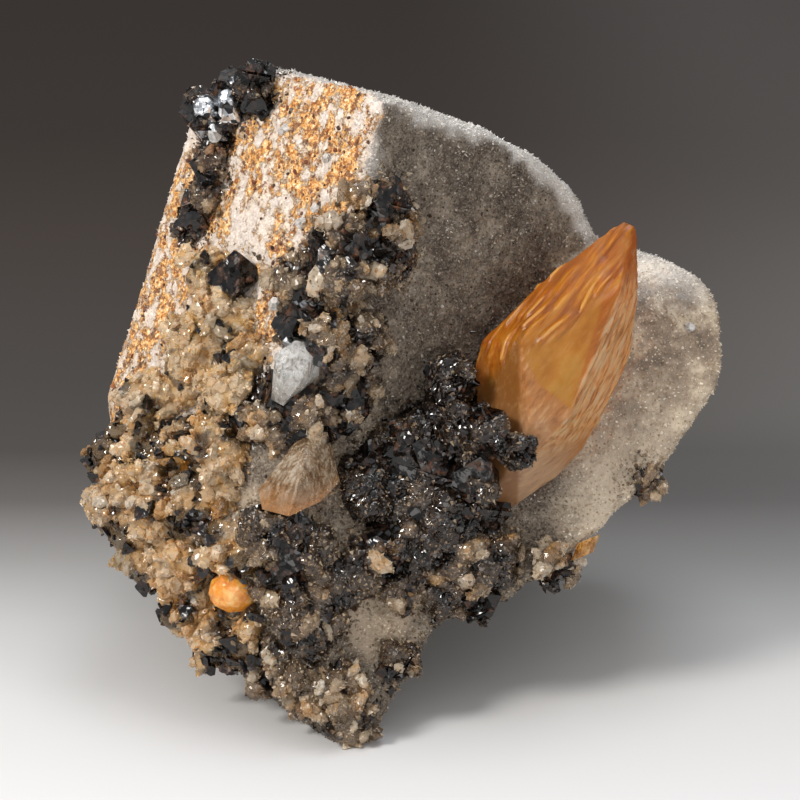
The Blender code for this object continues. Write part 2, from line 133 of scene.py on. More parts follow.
class Finish:
    """A material whose patterns are measured in millimetres on the object."""

    def __init__(self, name, **constants):
        self.material = bpy.data.materials.new(name)
        self.material.use_nodes = True
        self.tree = self.material.node_tree
        self.shader = self.tree.nodes["Principled BSDF"]
        for socket, value in constants.items():
            label = socket.replace("_", " ").title().replace("Ior", "IOR")
            self.shader.inputs[label].default_value = value
        place = self.node("ShaderNodeTexCoord", output="Object")
        self.mm = self.node("ShaderNodeVectorMath", {"operation": "SCALE"},
                            {0: place, "Scale": 1 / MM})
        parts = self.node("ShaderNodeSeparateXYZ", None, {0: self.mm})
        self.x, self.y, self.z = (Wire(self.tree, parts.socket.node.outputs[i]) for i in range(3))

    def node(self, kind, settings=None, inputs=None, output=0):
        return add_node(self.tree, kind, settings, inputs, output)

    def grain(self, size, detail=2.0, roughness=0.5, stretch=(1, 1, 1), turn=(0, 0, 0)):
        """Cloudy noise with features of this size, drawn out and turned if asked."""
        place = self.node("ShaderNodeMapping", {"vector_type": "TEXTURE"},
                          {"Vector": self.mm, "Rotation": turn, "Scale": stretch})
        return self.node("ShaderNodeTexNoise", None, {
            "Vector": place, "Scale": 1 / size, "Detail": detail, "Roughness": roughness})

    def cell_colours(self, size):
        """A random colour for every cell of this size."""
        return self.node("ShaderNodeTexVoronoi", None,
                         {"Vector": self.mm, "Scale": 1 / size}, "Color")

    def own(self, name):
        """A value that was painted on the mesh."""
        return self.node("ShaderNodeAttribute", {"attribute_name": name}, None, "Fac")

    def ramp(self, value, stops):
        """Colours along a value, as (position, screen colour)."""
        made = self.node("ShaderNodeValToRGB", None, {"Fac": value})
        marks = made.socket.node.color_ramp.elements
        while len(marks) < len(stops):
            marks.new(0.5)
        for mark, (position, colour) in zip(marks, stops):
            mark.position = position
            mark.color = rgb(colour)
        return made

    def layers(self, colour, *coats):
        """Lay coats over a colour, each given as (where it shows, its colour)."""
        for mask, coat in coats:
            under, over = (rgb(c) if isinstance(c, str) else c for c in (colour, coat))
            colour = self.node("ShaderNodeMix", {"data_type": "RGBA"},
                               {"Factor": mask, 6: under, 7: over}, 2)
        return colour

    def bump(self, height, distance, strength, under=None):
        inputs = {"Height": height, "Distance": distance * MM, "Strength": strength}
        if under is not None:
            inputs["Normal"] = under
        return self.node("ShaderNodeBump", None, inputs)

    def facets(self, size, lean):
        """A small flat facet per cell, each tilted its own way, as on a druse."""
        tilt = self.node("ShaderNodeVectorMath", {"operation": "SUBTRACT"},
                         {0: self.cell_colours(size), 1: (0.5, 0.5, 0.5)})
        tilt = self.node("ShaderNodeVectorMath", {"operation": "SCALE"}, {0: tilt, "Scale": lean})
        straight = self.node("ShaderNodeNewGeometry", output="Normal")
        tilted = self.node("ShaderNodeVectorMath", {"operation": "ADD"}, {0: straight, 1: tilt})
        return self.node("ShaderNodeVectorMath", {"operation": "NORMALIZE"}, {0: tilted})

    def feed(self, **wires):
        """Link wires to the shader's sockets, as in base_color=...; gives the material."""
        for name, wire in wires.items():
            self.tree.links.new(wire.socket, self.shader.inputs[name.replace("_", " ").title()])
        return self.material


# %% [markdown]
# ## Camera
# The specimen is seen a little from above, as on a table. A wide lens close by would spread
# its sides, so a long lens stands well back. The camera is aimed by pointing its own -Z at
# the middle of the piece, which is simpler than working out its angles.

# %% Camera
LOOK_AT = Vector((-0.22, -27.72, 76.0)) * MM
HEIGHT_ANGLE = math.radians(18)
DISTANCE = 583.3 * MM


def new_object(name, data):
    """An object for this data, linked to the scene."""
    made = bpy.data.objects.new(name, data)
    scene.collection.objects.link(made)
    return made


lens = bpy.data.cameras.new("camera")
lens.lens = 105
lens.clip_start = 10 * MM
camera = new_object("camera", lens)
back_off = Vector((0, -math.cos(HEIGHT_ANGLE), math.sin(HEIGHT_ANGLE)))
camera.location = LOOK_AT + back_off * DISTANCE
camera.rotation_euler = (-back_off).to_track_quat("-Z", "Y").to_euler()
scene.camera = camera
scene.view_settings.view_transform = "Standard"
print("camera at", [round(c, 3) for c in camera.location])


# %% [markdown]
# ## Lamps
# One soft lamp high at the left makes the rusty face bright and leaves the drusy face in shade.
# A wide cool lamp above gives the black crystals something to reflect, and two weak ones fill
# the front. A plain grey room would make every black facet alike, so the room is bright above
# and dim at the sides, and facets differ by the way they lean.

# %% Lamps
def lamp(name, direction, distance, size, power, colour):
    """A round lamp aimed at the piece; distance and size in metres, power in watts."""
    data = bpy.data.lights.new(name, "AREA")
    data.shape = "DISK"
    data.size = size
    data.energy = power
    data.color = colour
    obj = new_object(name, data)
    direction = Vector(direction).normalized()
    obj.location = LOOK_AT + direction * distance
    obj.rotation_euler = direction.to_track_quat("Z", "Y").to_euler()


lamp("key", (-0.68, -0.44, 0.62), 1.2, 0.36, 12.0, (1.0, 0.965, 0.92))
lamp("overhead", (0.1, 0.1, 1.0), 1.1, 0.6, 4.0, (0.93, 0.96, 1.0))
lamp("front_fill", (0.15, -1.0, 0.12), 1.4, 0.8, 4.6, (1.0, 0.97, 0.93))
lamp("right_fill", (0.85, -0.55, 0.1), 1.4, 0.8, 2.8, (1.0, 0.96, 0.92))
scene.world = bpy.data.worlds.new("studio")
scene.world.use_nodes = True
room = scene.world.node_tree
way_up = add_node(room, "ShaderNodeSeparateXYZ", None, {
    0: add_node(room, "ShaderNodeTexCoord", output="Generated")}, "Z")
glow = way_up.node("ShaderNodeValToRGB", None, {"Fac": way_up * 0.5 + 0.5})
stops = glow.socket.node.color_ramp.elements
stops.new(0.7)
for stop, place, light in zip(stops, (0.45, 0.7, 1.0), (0.22, 0.46, 0.95)):
    stop.position = place
    stop.color = (0.95 * light, 0.97 * light, light, 1.0)
room.links.new(glow.socket, room.nodes["Background"].inputs["Color"])


# %% [markdown]
# ## Small tools
# An operator acts on all that is selected, so each step below first selects only what it
# shapes. Four small functions take up what every step repeats: going into edit mode and out
# again, joining parts, writing an object's turn into its mesh, and applying a modifier.

# %% Tools for selecting and applying
def select_only(*objects):
    """Nothing is selected but these; the last is active."""
    if bpy.context.mode != "OBJECT":
        bpy.ops.object.mode_set(mode="OBJECT")
    bpy.ops.object.select_all(action="DESELECT")
    for obj in objects:
        obj.select_set(True)
        bpy.context.view_layer.objects.active = obj


@contextmanager
def editing(obj):
    """Edit mode on one object, with its whole mesh selected."""
    select_only(obj)
    bpy.ops.object.mode_set(mode="EDIT")
    bpy.ops.mesh.select_all(action="SELECT")
    yield
    bpy.ops.object.mode_set(mode="OBJECT")


def joined(name, parts):
    """One object made of all these."""
    select_only(*parts)
    bpy.ops.object.join()
    made = bpy.context.object
    made.name = name
    return made


def settle():
    """Write the place, turn and size of what is selected into its mesh."""
    bpy.ops.object.transform_apply(location=True, rotation=True, scale=True)


def apply_modifier(obj, kind, **settings):
    select_only(obj)
    made = obj.modifiers.new(kind.lower(), kind)
    for name, value in settings.items():
        setattr(made, name, value)
    bpy.ops.object.modifier_apply(modifier=made.name)


# %% [markdown]
# ## The sheet
# The ground is one pale sheet whose colour is painted darker towards the back: painted shade
# standing in for light falling off on a backdrop, with a patch of painted light at the back right.
# It could be a curved sweep, but a flat sheet painted dark far off looks the same and gives no
# bright bounce from behind. It reaches far out, so no view sees its edge.

# %% Sheet
SHEET_SIDE = 8.0
SHEET_PLACE = (0, 0.1, -0.05 * MM)
bpy.ops.mesh.primitive_plane_add(size=1, location=(0, 0, 0))
sheet = bpy.context.object
sheet.name = "sheet"
sheet.data.transform(
    Matrix.Translation(SHEET_PLACE) @ Matrix.Diagonal((SHEET_SIDE, SHEET_SIDE, 1, 1)))
pale = Finish("pale_sheet", roughness=0.95, specular_ior_level=0.1)
distance_back = pale.node("ShaderNodeMapRange", None,
                          {"Value": pale.y, "From Min": -120.0, "From Max": 680.0})
# Painted shade: the sheet's colour darkens towards the back, where light falls off.
painted_backdrop_shade = pale.ramp(distance_back, [
    (0.0, "d4d3d3"), (0.1, "c7c6c5"), (0.16, "b4b3b2"), (0.22, "8b8987"), (0.28, "5c5957"),
    (0.34, "464340"), (0.44, "423e3b"), (0.7, "3e3733"), (1.0, "362f2b")])
far_off = distance_back.between(0.16, 0.26) * (1.0 - 0.55 * distance_back.between(0.35, 0.9))
# Painted light: a lighter patch on the dark back part of the sheet, at the right.
painted_light_right = pale.x.between(-20.0, 260.0) * far_off * 0.36
sheet.data.materials.append(
    pale.feed(base_color=pale.layers(painted_backdrop_shade, (painted_light_right, "92908e"))))


# %% [markdown]
# ## Working copies of the CAD solids
# The big forms are in the CAD already, so a finer piece starts as a copy of its solid and
# keeps that form. The CAD mesh is loose triangles. They are welded first, or the modifiers
# would tear them apart.

# %% Copies of CAD solids
WELD_GAP = 0.01 * MM


def welded_copy(name, *nodes):
    """A free mesh with the forms of these CAD nodes, their loose triangles welded."""
    copies = [new_object(node + "_copy", frame["nodes"][node].data.copy()) for node in nodes]
    made = joined(name, copies) if len(copies) > 1 else copies[0]
    made.name = made.data.name = name
    with editing(made):
        bpy.ops.mesh.remove_doubles(threshold=WELD_GAP)
    return made


def dress(obj, material, slot, *nodes):
    """Give a finished piece its material and its place on the body; the slot it is given is not
    used.
    """
    if min(corner[2] for corner in obj.bound_box) < 0.0:
        for vertex in obj.data.vertices:
            vertex.co.z = max(0.0, vertex.co.z)
    obj.data.materials.clear()
    obj.data.materials.append(material)
    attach(obj, "root")
    if nodes:
        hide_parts(*nodes)
    print(f"{obj.name}: {sum(len(p.vertices) - 2 for p in obj.data.polygons)} triangles")


def relief(obj, kind, size, height, **settings):
    """Push a surface in and out by procedural noise; size and height in millimetres."""
    pattern = bpy.data.textures.new(obj.name + kind, kind)
    pattern.noise_scale = size * MM
    for name, value in settings.items():
        setattr(pattern, name, value)
    apply_modifier(obj, "DISPLACE", texture=pattern, texture_coords="LOCAL",
                   strength=height * MM, mid_level=0.5)
    bpy.data.textures.remove(pattern)


# %% [markdown]
# ## The body of the rock
# On the real piece the rock is a block that cleaved along flat joints, then lay in hot water
# until a skin of quartz grains grew on it. The copy is remeshed into even faces of about a
# millimetre, because the CAD's long slivers would bend badly. Three sizes of noise then push
# it in and out: dents, knobs and grain. Each is kept under a millimetre and a half, so that
# the cleaved edges stay.

# %% Rock body
rock = welded_copy("rock_body", "matrix_rock")
apply_modifier(rock, "REMESH", mode="VOXEL", voxel_size=1.1 * MM)
apply_modifier(rock, "SMOOTH", factor=0.5, iterations=3)
relief(rock, "CLOUDS", 11.0, 1.4, noise_depth=2)
relief(rock, "VORONOI", 4.2, 0.8)
relief(rock, "CLOUDS", 1.7, 1.0, noise_depth=1)


# %% [markdown]
# ## Where the rock is rusty, stained, glittering, and painted lit or shaded
# Rust sits on one cleaved face, strongest near its upper edge and in a band down its left side.
# Brown stains creep out from under the crystals, with painted shadow of the golden crystal in them,
# and small crystals stand thickest round the clusters. Painted highlight whitens the upper edge and
# the top, and painted light brightens a lit edge at the foot of the shaded face. Such places can't
# come from noise alone, so they are painted: each point of the mesh gets a number from its
# position, from the way it faces and from how near the crystals are, and the finishes read that
# number.

# %% Painting by place
RUSTY_WAY = Vector((-0.69, -0.64, 0.33)).normalized()
# Stains as x, y, z and radius in millimetres, and strength.
STAINS = [
    (-13, -27, 150, 12, 0.9), (-27, -14, 148, 11, 0.7), (-16, -32, 134, 14, 0.9),
    (-27, -21, 133, 11, 0.8), (-38, -11, 131, 8, 0.7), (-17, -38, 122, 10, 0.9),
    (-30, -30, 111, 9, 0.8), (-55, -7, 112, 10, 0.85), (-65, 1, 97, 12, 0.85),
    (-62, -7, 88, 10, 0.6), (-72, -2, 76, 12, 0.75), (-73, -6, 64, 10, 0.65),
    (-50, -10, 123, 8, 0.8), (-43, -3, 137, 10, 0.8), (-59, 0, 119, 9, 1.0),
    (-55, 2, 128, 8, 1.0), (-61, 0, 109, 9, 1.0), (-34, -31, 106, 7, 1.0), (-33, -35, 97, 6, 1.0)]
# The plain patches as centre and radius in millimetres; the last three are painted light on a lit
# edge.
PALE_AND_LIT_PATCHES = [
    ((-5, -55, 28), 12.0), ((-33, -52, 56), 9.0), ((14, -40, 24), 8.0),
    ((2, -42, 87), 10.0), ((-5, -46, 78), 10.0), ((-12, -51, 69), 9.0)]
HONEY_NODES = sorted(n for n in frame["nodes"] if n.startswith("calcite_druse_"))
SPHALERITE_NODES = sorted(n for n in frame["nodes"] if n.startswith("sphalerite_"))


def step(value, low, high):
    t = max(0.0, min(1.0, (value - low) / (high - low)))
    return t * t * (3 - 2 * t)


def tree_of(nodes):
    """A search tree over some CAD solids, to measure how near a point is to them."""
    points, faces = [], []
    for node in nodes:
        mesh = frame["nodes"][node].data
        start = len(points)
        points += [v.co for v in mesh.vertices]
        faces += [[start + i for i in p.vertices] for p in mesh.polygons]
    return BVHTree.FromPolygons(points, faces)


cluster_tree = tree_of(HONEY_NODES + SPHALERITE_NODES)
golden_tree = tree_of(["calcite_golden"])
single_tree = tree_of([
    "calcite_white", "calcite_smoky", "calcite_amber_left", "calcite_amber_right",
    "calcite_orange", "calcite_golden", "sphalerite_pyramid"])


def gap_to(tree, p, reach):
    """Distance in millimetres from p to the nearest solid, at most reach."""
    found = tree.find_nearest(p * MM, reach * MM)
    return reach if found[3] is None else found[3] / MM


def paint(obj, **rules):
    """Store each rule(point in mm, normal) under its own name on every point of a mesh."""
    mesh = obj.data
    for name, rule in rules.items():
        layer = mesh.attributes.new(name, "FLOAT", "POINT")
        layer.data.foreach_set("value", [rule(v.co / MM, v.normal) for v in mesh.vertices])


def cleaved_at(p, n):
    """1 on the flat rusty face, 0 elsewhere."""
    return step(n.dot(RUSTY_WAY), 0.35, 0.8) * step(p.z - 0.5 * (p.x + 73), 53, 64)


SKEW = Matrix.Rotation(0.9, 3, Vector((0.3, 0.5, 0.8)))


def torn_at(p):
    """Noise drawn out downwards, turned so that its grid isn't in line with the face."""
    return noise.fractal(SKEW @ Vector((p.x, p.y, 0.6 * p.z)) * 0.26, 0.7, 2.3, 4)


def rust_at(p, n):
    """Rust in torn patches, longer up and down than across."""
    flat = cleaved_at(p, n)
    if flat == 0.0:
        return 0.0
    stain = min(1.0, sum(w * math.exp(-(Vector((x, y, z)) - p).length_squared / (r * r))
                         for x, y, z, r, w in STAINS))
    return max(0.0, min(1.0, flat * stain * (0.75 + 1.3 * torn_at(p))))


def druse_at(p, n):
    """How thickly fine quartz grows: thick in front, thin on the rusty face."""
    front = step(-n.y, -0.3, 0.2)
    return (0.22 + 0.78 * front) * (1.0 - 0.84 * cleaved_at(p, n))


def line_through(*corners):
    """A line of straight pieces through points in millimetres."""
    return [Vector(c) for c in corners]


TOP_EDGE = line_through((-9, -31, 151), (5, -27, 149), (25, -12, 139), (38, -4, 127), (48, 3, 112))
RIDGE = line_through((-9, -31, 151), (-9, -36, 138), (-11, -39, 128))


def gap_to_line(p, corners):
    """Distance from p to a line through these corners."""
    gaps = []
    for a, b in zip(corners, corners[1:]):
        t = max(0.0, min(1.0, (p - a).dot(b - a) / (b - a).length_squared))
        gaps.append((p - a.lerp(b, t)).length)
    return min(gaps)


def frost_and_highlight_at(p, n):
    """White grains beside the rusty face, and painted highlight: the upper edge and the up-facing
    top are whitened where the lamp falls on them.
    """
    wobble = 2.0 * noise.noise(p * 0.25)
    edge = 1.0 - step(gap_to_line(p, TOP_EDGE) + wobble, 1.5, 4.5)
    rim = 0.8 * (1.0 - step(gap_to_line(p, RIDGE) + wobble, 2.0, 5.0))
    return max(edge, rim, 0.8 * step(n.z, 0.3, 0.8) * step(p.z, 92, 104))


def tan_at(p, n):
    """The right lobe is paler and browner than the face beside it; lower down it is painted lighter
    as light from the floor.
    """
    return step(p.x, 34, 48) * step(118 - p.z, 0, 14) * step(-p.y, -12, 4)


def stain_and_shade_at(p, n):
    """Dark brown round the golden crystal, on its upper left side: a brown stain together with
    painted shadow of the crystal.
    """
    near = 1.0 - step(gap_to(golden_tree, p, 14.0), 2.0, 14.0)
    return near * (1.0 - 0.85 * tan_at(p, n)) * step(p.z, 50, 75)


def pale_and_lit_at(p, n):
    """Plain pale druse between the front clusters, and painted light on the lit edge at the foot of
    the shaded face.
    """
    return max(1.0 - step((p - Vector(c)).length + 2.5 * noise.noise(p * 0.3), r - 5.0, r)
               for c, r in PALE_AND_LIT_PATCHES)


def near_single(p):
    """1 beside a crystal that should stay free of overgrowth."""
    return 1.0 - step(gap_to(single_tree, p, 4.0), 0.8, 2.4)


def fringe_at(p, n):
    """Thick next to a cluster, thin a few millimetres away, none where the rock shows bare."""
    gap = gap_to(cluster_tree, p, 9.0)
    patchy = 2.5 * noise.noise(p * 0.2)
    return (1.0 - step(gap + patchy, 0.5, 5.5)) * (1.0 - near_single(p))


def border_at(p, n):
    """Only the first two or three millimetres round a cluster."""
    near = 1.0 - step(gap_to(cluster_tree, p, 4.0), 0.3, 2.8)
    return near * (1.0 - near_single(p)) * (1.0 - 0.8 * tan_at(p, n))


paint(rock, cleaved=cleaved_at, rust=rust_at, druse=druse_at, frost=frost_and_highlight_at, tan=tan_at,
      stained=stain_and_shade_at, pale=pale_and_lit_at, border=border_at)
print("rock painted,", len(rock.data.vertices), "points")

# %% [markdown]
# ## Rock finish
# Three layers make the colour: the grey-brown body, the pinkish cleaved face, and the rust in
# flecks of orange and dark brown. The body also carries painted shadow round the golden crystal,
# painted highlight along the upper edge and painted light on the lobe and a lit edge. Under it all,
# a facet for every cell catches the light here and there, which reads as glitter from a distance.

# %% Rock finish
f = Finish("drusy_rock", roughness=0.5, ior=1.54)
broad = f.grain(8.0, 4.0, 0.6)
middle = f.grain(2.2, 3.0, 0.6)
fine = f.grain(0.55, 2.0, 0.7)
stained = f.own("stained")
rust = f.own("rust")
pits = f.grain(14.0, 5.0, 0.65).between(0.56, 0.68)
seams = f.grain(2.4, 4.0, 0.6, stretch=(1, 1, 7), turn=(0.3, 0.6, 0.2)).between(0.56, 0.66)
tan = f.ramp(broad, [(0.36, "5e4e3e"), (0.5, "94806a"), (0.62, "c2b198")])
# Painted light: the lower part of the lobe is lightened, standing in for light thrown up from the
# floor.
tan = f.layers(tan, ((1.0 - f.z.between(45.0, 95.0)) * 0.6, "e0d0b8"))
grey = f.ramp(broad * 0.6 + middle * 0.4 - 0.1 * stained, [
    (0.32, "2a2019"), (0.43, "4a3e33"), (0.54, "6c5f50"), (0.66, "948878")])
grey = f.layers(
    grey, (pits * 0.7, "35281e"), (seams * 0.45, "30261d"),
    # Painted shadow: the stain coat round the golden crystal is darkened as its shadow.
    (fine.between(0.45, 0.7) * 0.5, "a09485"), (stained * 0.85, "402a18"),
    # Painted light: the frost coat is a painted highlight, and the tan and pale coats are partly
    # painted light.
    (f.own("tan") * 0.75, tan), (f.own("pale") * 0.75, "a6937c"), (f.own("frost") * 0.65, "dcd7d0"))
pink = f.ramp(middle * 0.55 + fine * 0.45, [
    (0.3, "a49890"), (0.46, "c4b7ac"), (0.58, "d6cac0"), (0.72, "eee8e3")])
speckle = 0.55 * f.grain(1.9, 6.0, 0.8) + 0.45 * f.grain(4.6, 3.0, 0.6, stretch=(1, 1, 1.7))
fleck = (rust * 0.17 + speckle).between(0.57, 0.64) * rust.between(0.02, 0.15)
iron = f.ramp(f.grain(1.1, 4.0, 0.75), [
    (0.34, "7c4219"), (0.43, "bd7c34"), (0.53, "e4b06a"), (0.64, "f6e0bc")])
scab = (rust * 0.12 + f.grain(1.7, 5.0, 0.8)).between(0.61, 0.65) * rust.between(0.15, 0.45)
smooth = (f.own("tan") + f.own("pale") + 0.7 * f.own("cleaved")).between(0.0, 1.0)
coarse = (fine + 1.5 * f.grain(1.2, 3.0, 0.6)) * (1.0 - 0.75 * smooth)
rock_material = f.feed(
    base_color=f.layers(
        grey, (f.own("cleaved"), pink), (rust * 0.5, "ecc898"), (fleck, iron),
        (scab * 0.85, "673416")),
    roughness=0.62 - 0.3 * fine.between(0.5, 0.75),
    normal=f.bump(coarse + fleck * 0.7, 0.4, 1.0, f.facets(0.75, 0.4)))
dress(rock, rock_material, "rock", "matrix_rock")


# %% [markdown]
# ## Seed crystals
# Everything that grows here is a copy of a few small seeds, one millimetre across: a quartz
# point, a sphalerite tetrahedron with its corners cut, a blunt calcite, a knobbly calcite bud
# of three lumps, and a rust flake. Each is shaped once from a primitive and then only copied,
# so it has a few dozen faces at most.

# %% Seeds
seeds = {}


def keep_seed(kind):
    """Put the active object into the group of this kind of seed."""
    settle()
    obj = bpy.context.object
    if kind not in seeds:
        seeds[kind] = bpy.data.collections.new(kind)
    for holder in list(obj.users_collection):
        holder.objects.unlink(obj)
    seeds[kind].objects.link(obj)


def pull_tip(obj, aside):
    """Move the highest point of a cone off its axis."""
    select_only(obj)
    for point in obj.data.vertices:
        point.select = point.co.z > 0.1
    bpy.ops.object.mode_set(mode="EDIT")
    bpy.ops.mesh.select_mode(type="VERT")
    bpy.ops.transform.translate(value=(aside, aside * 0.5, 0))
    bpy.ops.object.mode_set(mode="OBJECT")


def cut_corners(obj, amount, what="VERTICES"):
    with editing(obj):
        bpy.ops.mesh.bevel(offset=amount, affect=what, segments=1)


for k, (radius, length, aside) in enumerate(
        [(0.44, 1.0, 0.10), (0.36, 1.25, -0.14), (0.52, 0.8, 0.2)]):
    bpy.ops.mesh.primitive_cone_add(vertices=5 + k % 2, radius1=radius, radius2=0, depth=length,
                                    location=(0, 0, 0.2), rotation=(0, 0, 0.4 * k))
    pull_tip(bpy.context.object, aside)
    keep_seed("quartz")

for k, cut in enumerate([0.24, 0.34, 0.16]):
    bpy.ops.mesh.primitive_cone_add(vertices=3, radius1=0.72, radius2=0.0, depth=1.0,
                                    location=(0, 0, 0.15), rotation=(0.3 * k, 0.2, 0.5 * k))
    cut_corners(bpy.context.object, cut)
    keep_seed("blende")

for k, (wide, tall) in enumerate([(1.0, 0.8), (0.8, 1.15), (1.15, 0.6)]):
    bpy.ops.mesh.primitive_cube_add(size=0.85, location=(0, 0, 0.1),
                                    rotation=(0.75, 0.4 * k + 0.2, 0.3 * k))
    bpy.ops.transform.resize(value=(wide, 1.0, tall))
    cut_corners(bpy.context.object, 0.17, "EDGES")
    keep_seed("calcite")

KNOBS = [(0, 0, 0.1, 0.42), (0.26, 0.12, 0.22, 0.28), (-0.16, -0.26, 0.2, 0.3)]
for k, (wide, tall) in enumerate([(1.0, 0.85), (1.2, 0.75), (0.85, 1.1)]):
    knobs = []
    for j, (x, y, z, radius) in enumerate(KNOBS):
        bpy.ops.mesh.primitive_ico_sphere_add(subdivisions=1, radius=radius, location=(x, y, z),
                                              rotation=(0.7 * j + k, 0.4 * k, 1.1 * j))
        knobs.append(bpy.context.object)
        with editing(knobs[-1]):
            bpy.ops.transform.vertex_random(offset=0.12, seed=5 * k + j + 1)
    joined("bud", knobs)
    settle()
    bpy.ops.transform.resize(value=(wide, 1.0, tall), center_override=(0, 0, 0))
    keep_seed("bud")

for k, wide in enumerate([1.0, 0.7, 1.3]):
    bpy.ops.mesh.primitive_cone_add(vertices=6, radius1=0.5, radius2=0.3, depth=0.3,
                                    location=(0, 0, 0.02), rotation=(0.2, 0.15 * k, 0))
    bpy.ops.transform.resize(value=(wide, 1.0, 1.0))
    keep_seed("flake")


# %% [markdown]
# ## Growing crystals
# A druse is thousands of crystals that stand on a surface, all of one kind, of several sizes,
# each leaning its own way. Geometry Nodes does exactly that: it scatters points that keep
# their distance, puts a seed on each, turns and sizes it, and stores a random tone for the
# finish. The instances are then made real, so that the piece is an ordinary mesh. The points
# also carry what was painted on the ground, so the grains know where the rust is.

# %% Growth
def grow(name, ground, kind, material, slot, spacing, sizes, where, lean, seed,
         share=1.0, bias=1.8):
    """A finished piece of crystals on a ground mesh, thick where the value called where is high.

    Spacing and sizes are in millimetres, lean in radians. A high bias makes most crystals small.
    """
    tree = bpy.data.node_groups.new(name, "GeometryNodeTree")
    for way in ("INPUT", "OUTPUT"):
        tree.interface.new_socket("Geometry", in_out=way, socket_type="NodeSocketGeometry")

    def node(kind, settings=None, inputs=None, output=0):
        return add_node(tree, kind, settings, inputs, output)

    painted = node("GeometryNodeInputNamedAttribute", {"data_type": "FLOAT"}, {"Name": where})
    points = node("GeometryNodeDistributePointsOnFaces", {"distribute_method": "POISSON"}, {
        "Mesh": node("NodeGroupInput"), "Distance Min": spacing * MM,
        "Density Max": 2.2 / (spacing * MM) ** 2, "Density Factor": share * painted, "Seed": seed})
    upright = Wire(tree, points.socket.node.outputs["Rotation"])
    turn = node("FunctionNodeRandomValue", {"data_type": "FLOAT_VECTOR"},
                {0: (-lean, -lean, -3.14), 1: (lean, lean, 3.14), 8: seed + 1})
    turn = node("FunctionNodeEulerToRotation", None, {"Euler": turn})
    turned = node("FunctionNodeRotateRotation", {"rotation_space": "LOCAL"},
                  {"Rotation": upright, "Rotate By": turn})
    dice = node("FunctionNodeRandomValue", None, {2: 0.0, 3: 1.0, 8: seed + 2}, 1)
    size = (dice ** bias) * ((sizes[1] - sizes[0]) * MM) + sizes[0] * MM
    kinds = node("GeometryNodeCollectionInfo", None,
                 {"Collection": seeds[kind], "Separate Children": True, "Reset Children": False})
    which = node("FunctionNodeRandomValue", {"data_type": "INT"}, {4: 0, 5: 2, 8: seed + 3}, 2)
    grown = node("GeometryNodeInstanceOnPoints", None, {
        "Points": points, "Instance": kinds, "Pick Instance": True, "Instance Index": which,
        "Rotation": turned, "Scale": size})
    tone = node("FunctionNodeRandomValue", None, {2: 0.0, 3: 1.0, 8: seed + 4}, 1)
    grown = node("GeometryNodeStoreNamedAttribute", {"data_type": "FLOAT", "domain": "INSTANCE"},
                 {"Geometry": grown, "Name": "tone", "Value": tone})
    real = node("GeometryNodeRealizeInstances", None, {"Geometry": grown})
    node("NodeGroupOutput", None, {0: real})

    made = new_object(name, ground.data.copy())
    apply_modifier(made, "NODES", node_group=tree)
    bpy.data.node_groups.remove(tree)
    dress(made, material, slot)
    return made


# %% [markdown]
# ## Fine quartz on the rock
# The grey sparkle of the rock is quartz grains of a third of a millimetre to one. They are
# grown where the painted thickness says. Their finish is glassy and pale, and the stored tone
# makes some dark and some white.

# %% Quartz grains
f = Finish("quartz_grains", roughness=0.22, ior=1.54)
tone = f.own("tone")
shade = f.grain(7.0, 4.0, 0.6)
grains = f.layers(
    # Grains round the golden crystal are darkened by the stain and its painted shadow.
    f.ramp(tone * 0.5 + shade * 0.6 - 0.22 * f.own("stained") + 0.2 * f.own("tan"), [
        (0.25, "33291f"), (0.42, "4c4135"), (0.60, "6e6253"), (0.78, "a09484"), (0.95, "ece8e2")]),
    (f.own("tan") * 0.8, f.ramp(tone * 0.5 + shade * 0.5, [
        (0.25, "98866e"), (0.5, "ae9a81"), (0.7, "cfc1ab")])),
    # Pale grains, partly painted light on the lit edge at the foot of the shaded face.
    (f.own("pale") * 0.8, f.ramp(tone, [(0.1, "9c8a74"), (0.9, "cbbda9")])),
    # Painted highlight: whiter grains along the upper edge and where the top looks up.
    (f.own("frost") * 0.6, "eeece8"),
    (f.own("cleaved") * 0.8, f.ramp(tone, [(0.2, "cbb9a8"), (0.8, "f2e9df")])),
    ((f.own("rust") * 0.7 + tone * 0.5).between(0.65, 0.9), f.ramp(shade, [
        (0.4, "9a5520"), (0.5, "d08a3a"), (0.62, "ecc07c")])))
QUARTZ = f.feed(base_color=grains, roughness=0.14 + 0.3 * tone), "rock"
grow("quartz_skin", rock, "quartz", *QUARTZ, 1.0, (0.5, 1.15), "druse", 0.8, 3)
grow("quartz_fine", rock, "quartz", *QUARTZ, 0.72, (0.35, 0.75), "druse", 0.9, 4, 0.5)
grow("frost_rim", rock, "quartz", *QUARTZ, 0.8, (0.5, 1.1), "frost", 0.9, 5, 0.8)

# %% [markdown]
# ## Rust flakes
# Iron rust sits on the cleaved face as thin brown scabs, some nearly black and some ochre.
# Flat paint would look like a stain, so low six-sided flakes are grown where the rust is
# painted, and each takes its own brown.

# %% Rust flakes
f = Finish("rust_flakes_finish", roughness=0.7)
tone = f.own("tone")
rust_material = f.feed(
    base_color=f.ramp(tone * 0.75 + 0.25 * f.grain(0.8), [
        (0.2, "2c120a"), (0.5, "5f2c14"), (0.68, "a0602a"), (0.8, "d8a460"), (0.92, "f0dcc0")]),
    roughness=0.45 + 0.3 * tone)
grow("rust_flakes", rock, "flake", rust_material, "rock", 1.5, (0.5, 1.9), "rust", 0.9, 9,
     share=0.45, bias=2.0)


# %% [markdown]
# ## Sphalerite
# Sphalerite is nearly black and shines like resin or metal, with red-brown showing through
# thin edges. The CAD solids hold the large crystals, and their faces only need the finish:
# growth steps in the bump, and a gloss that goes dull in patches.

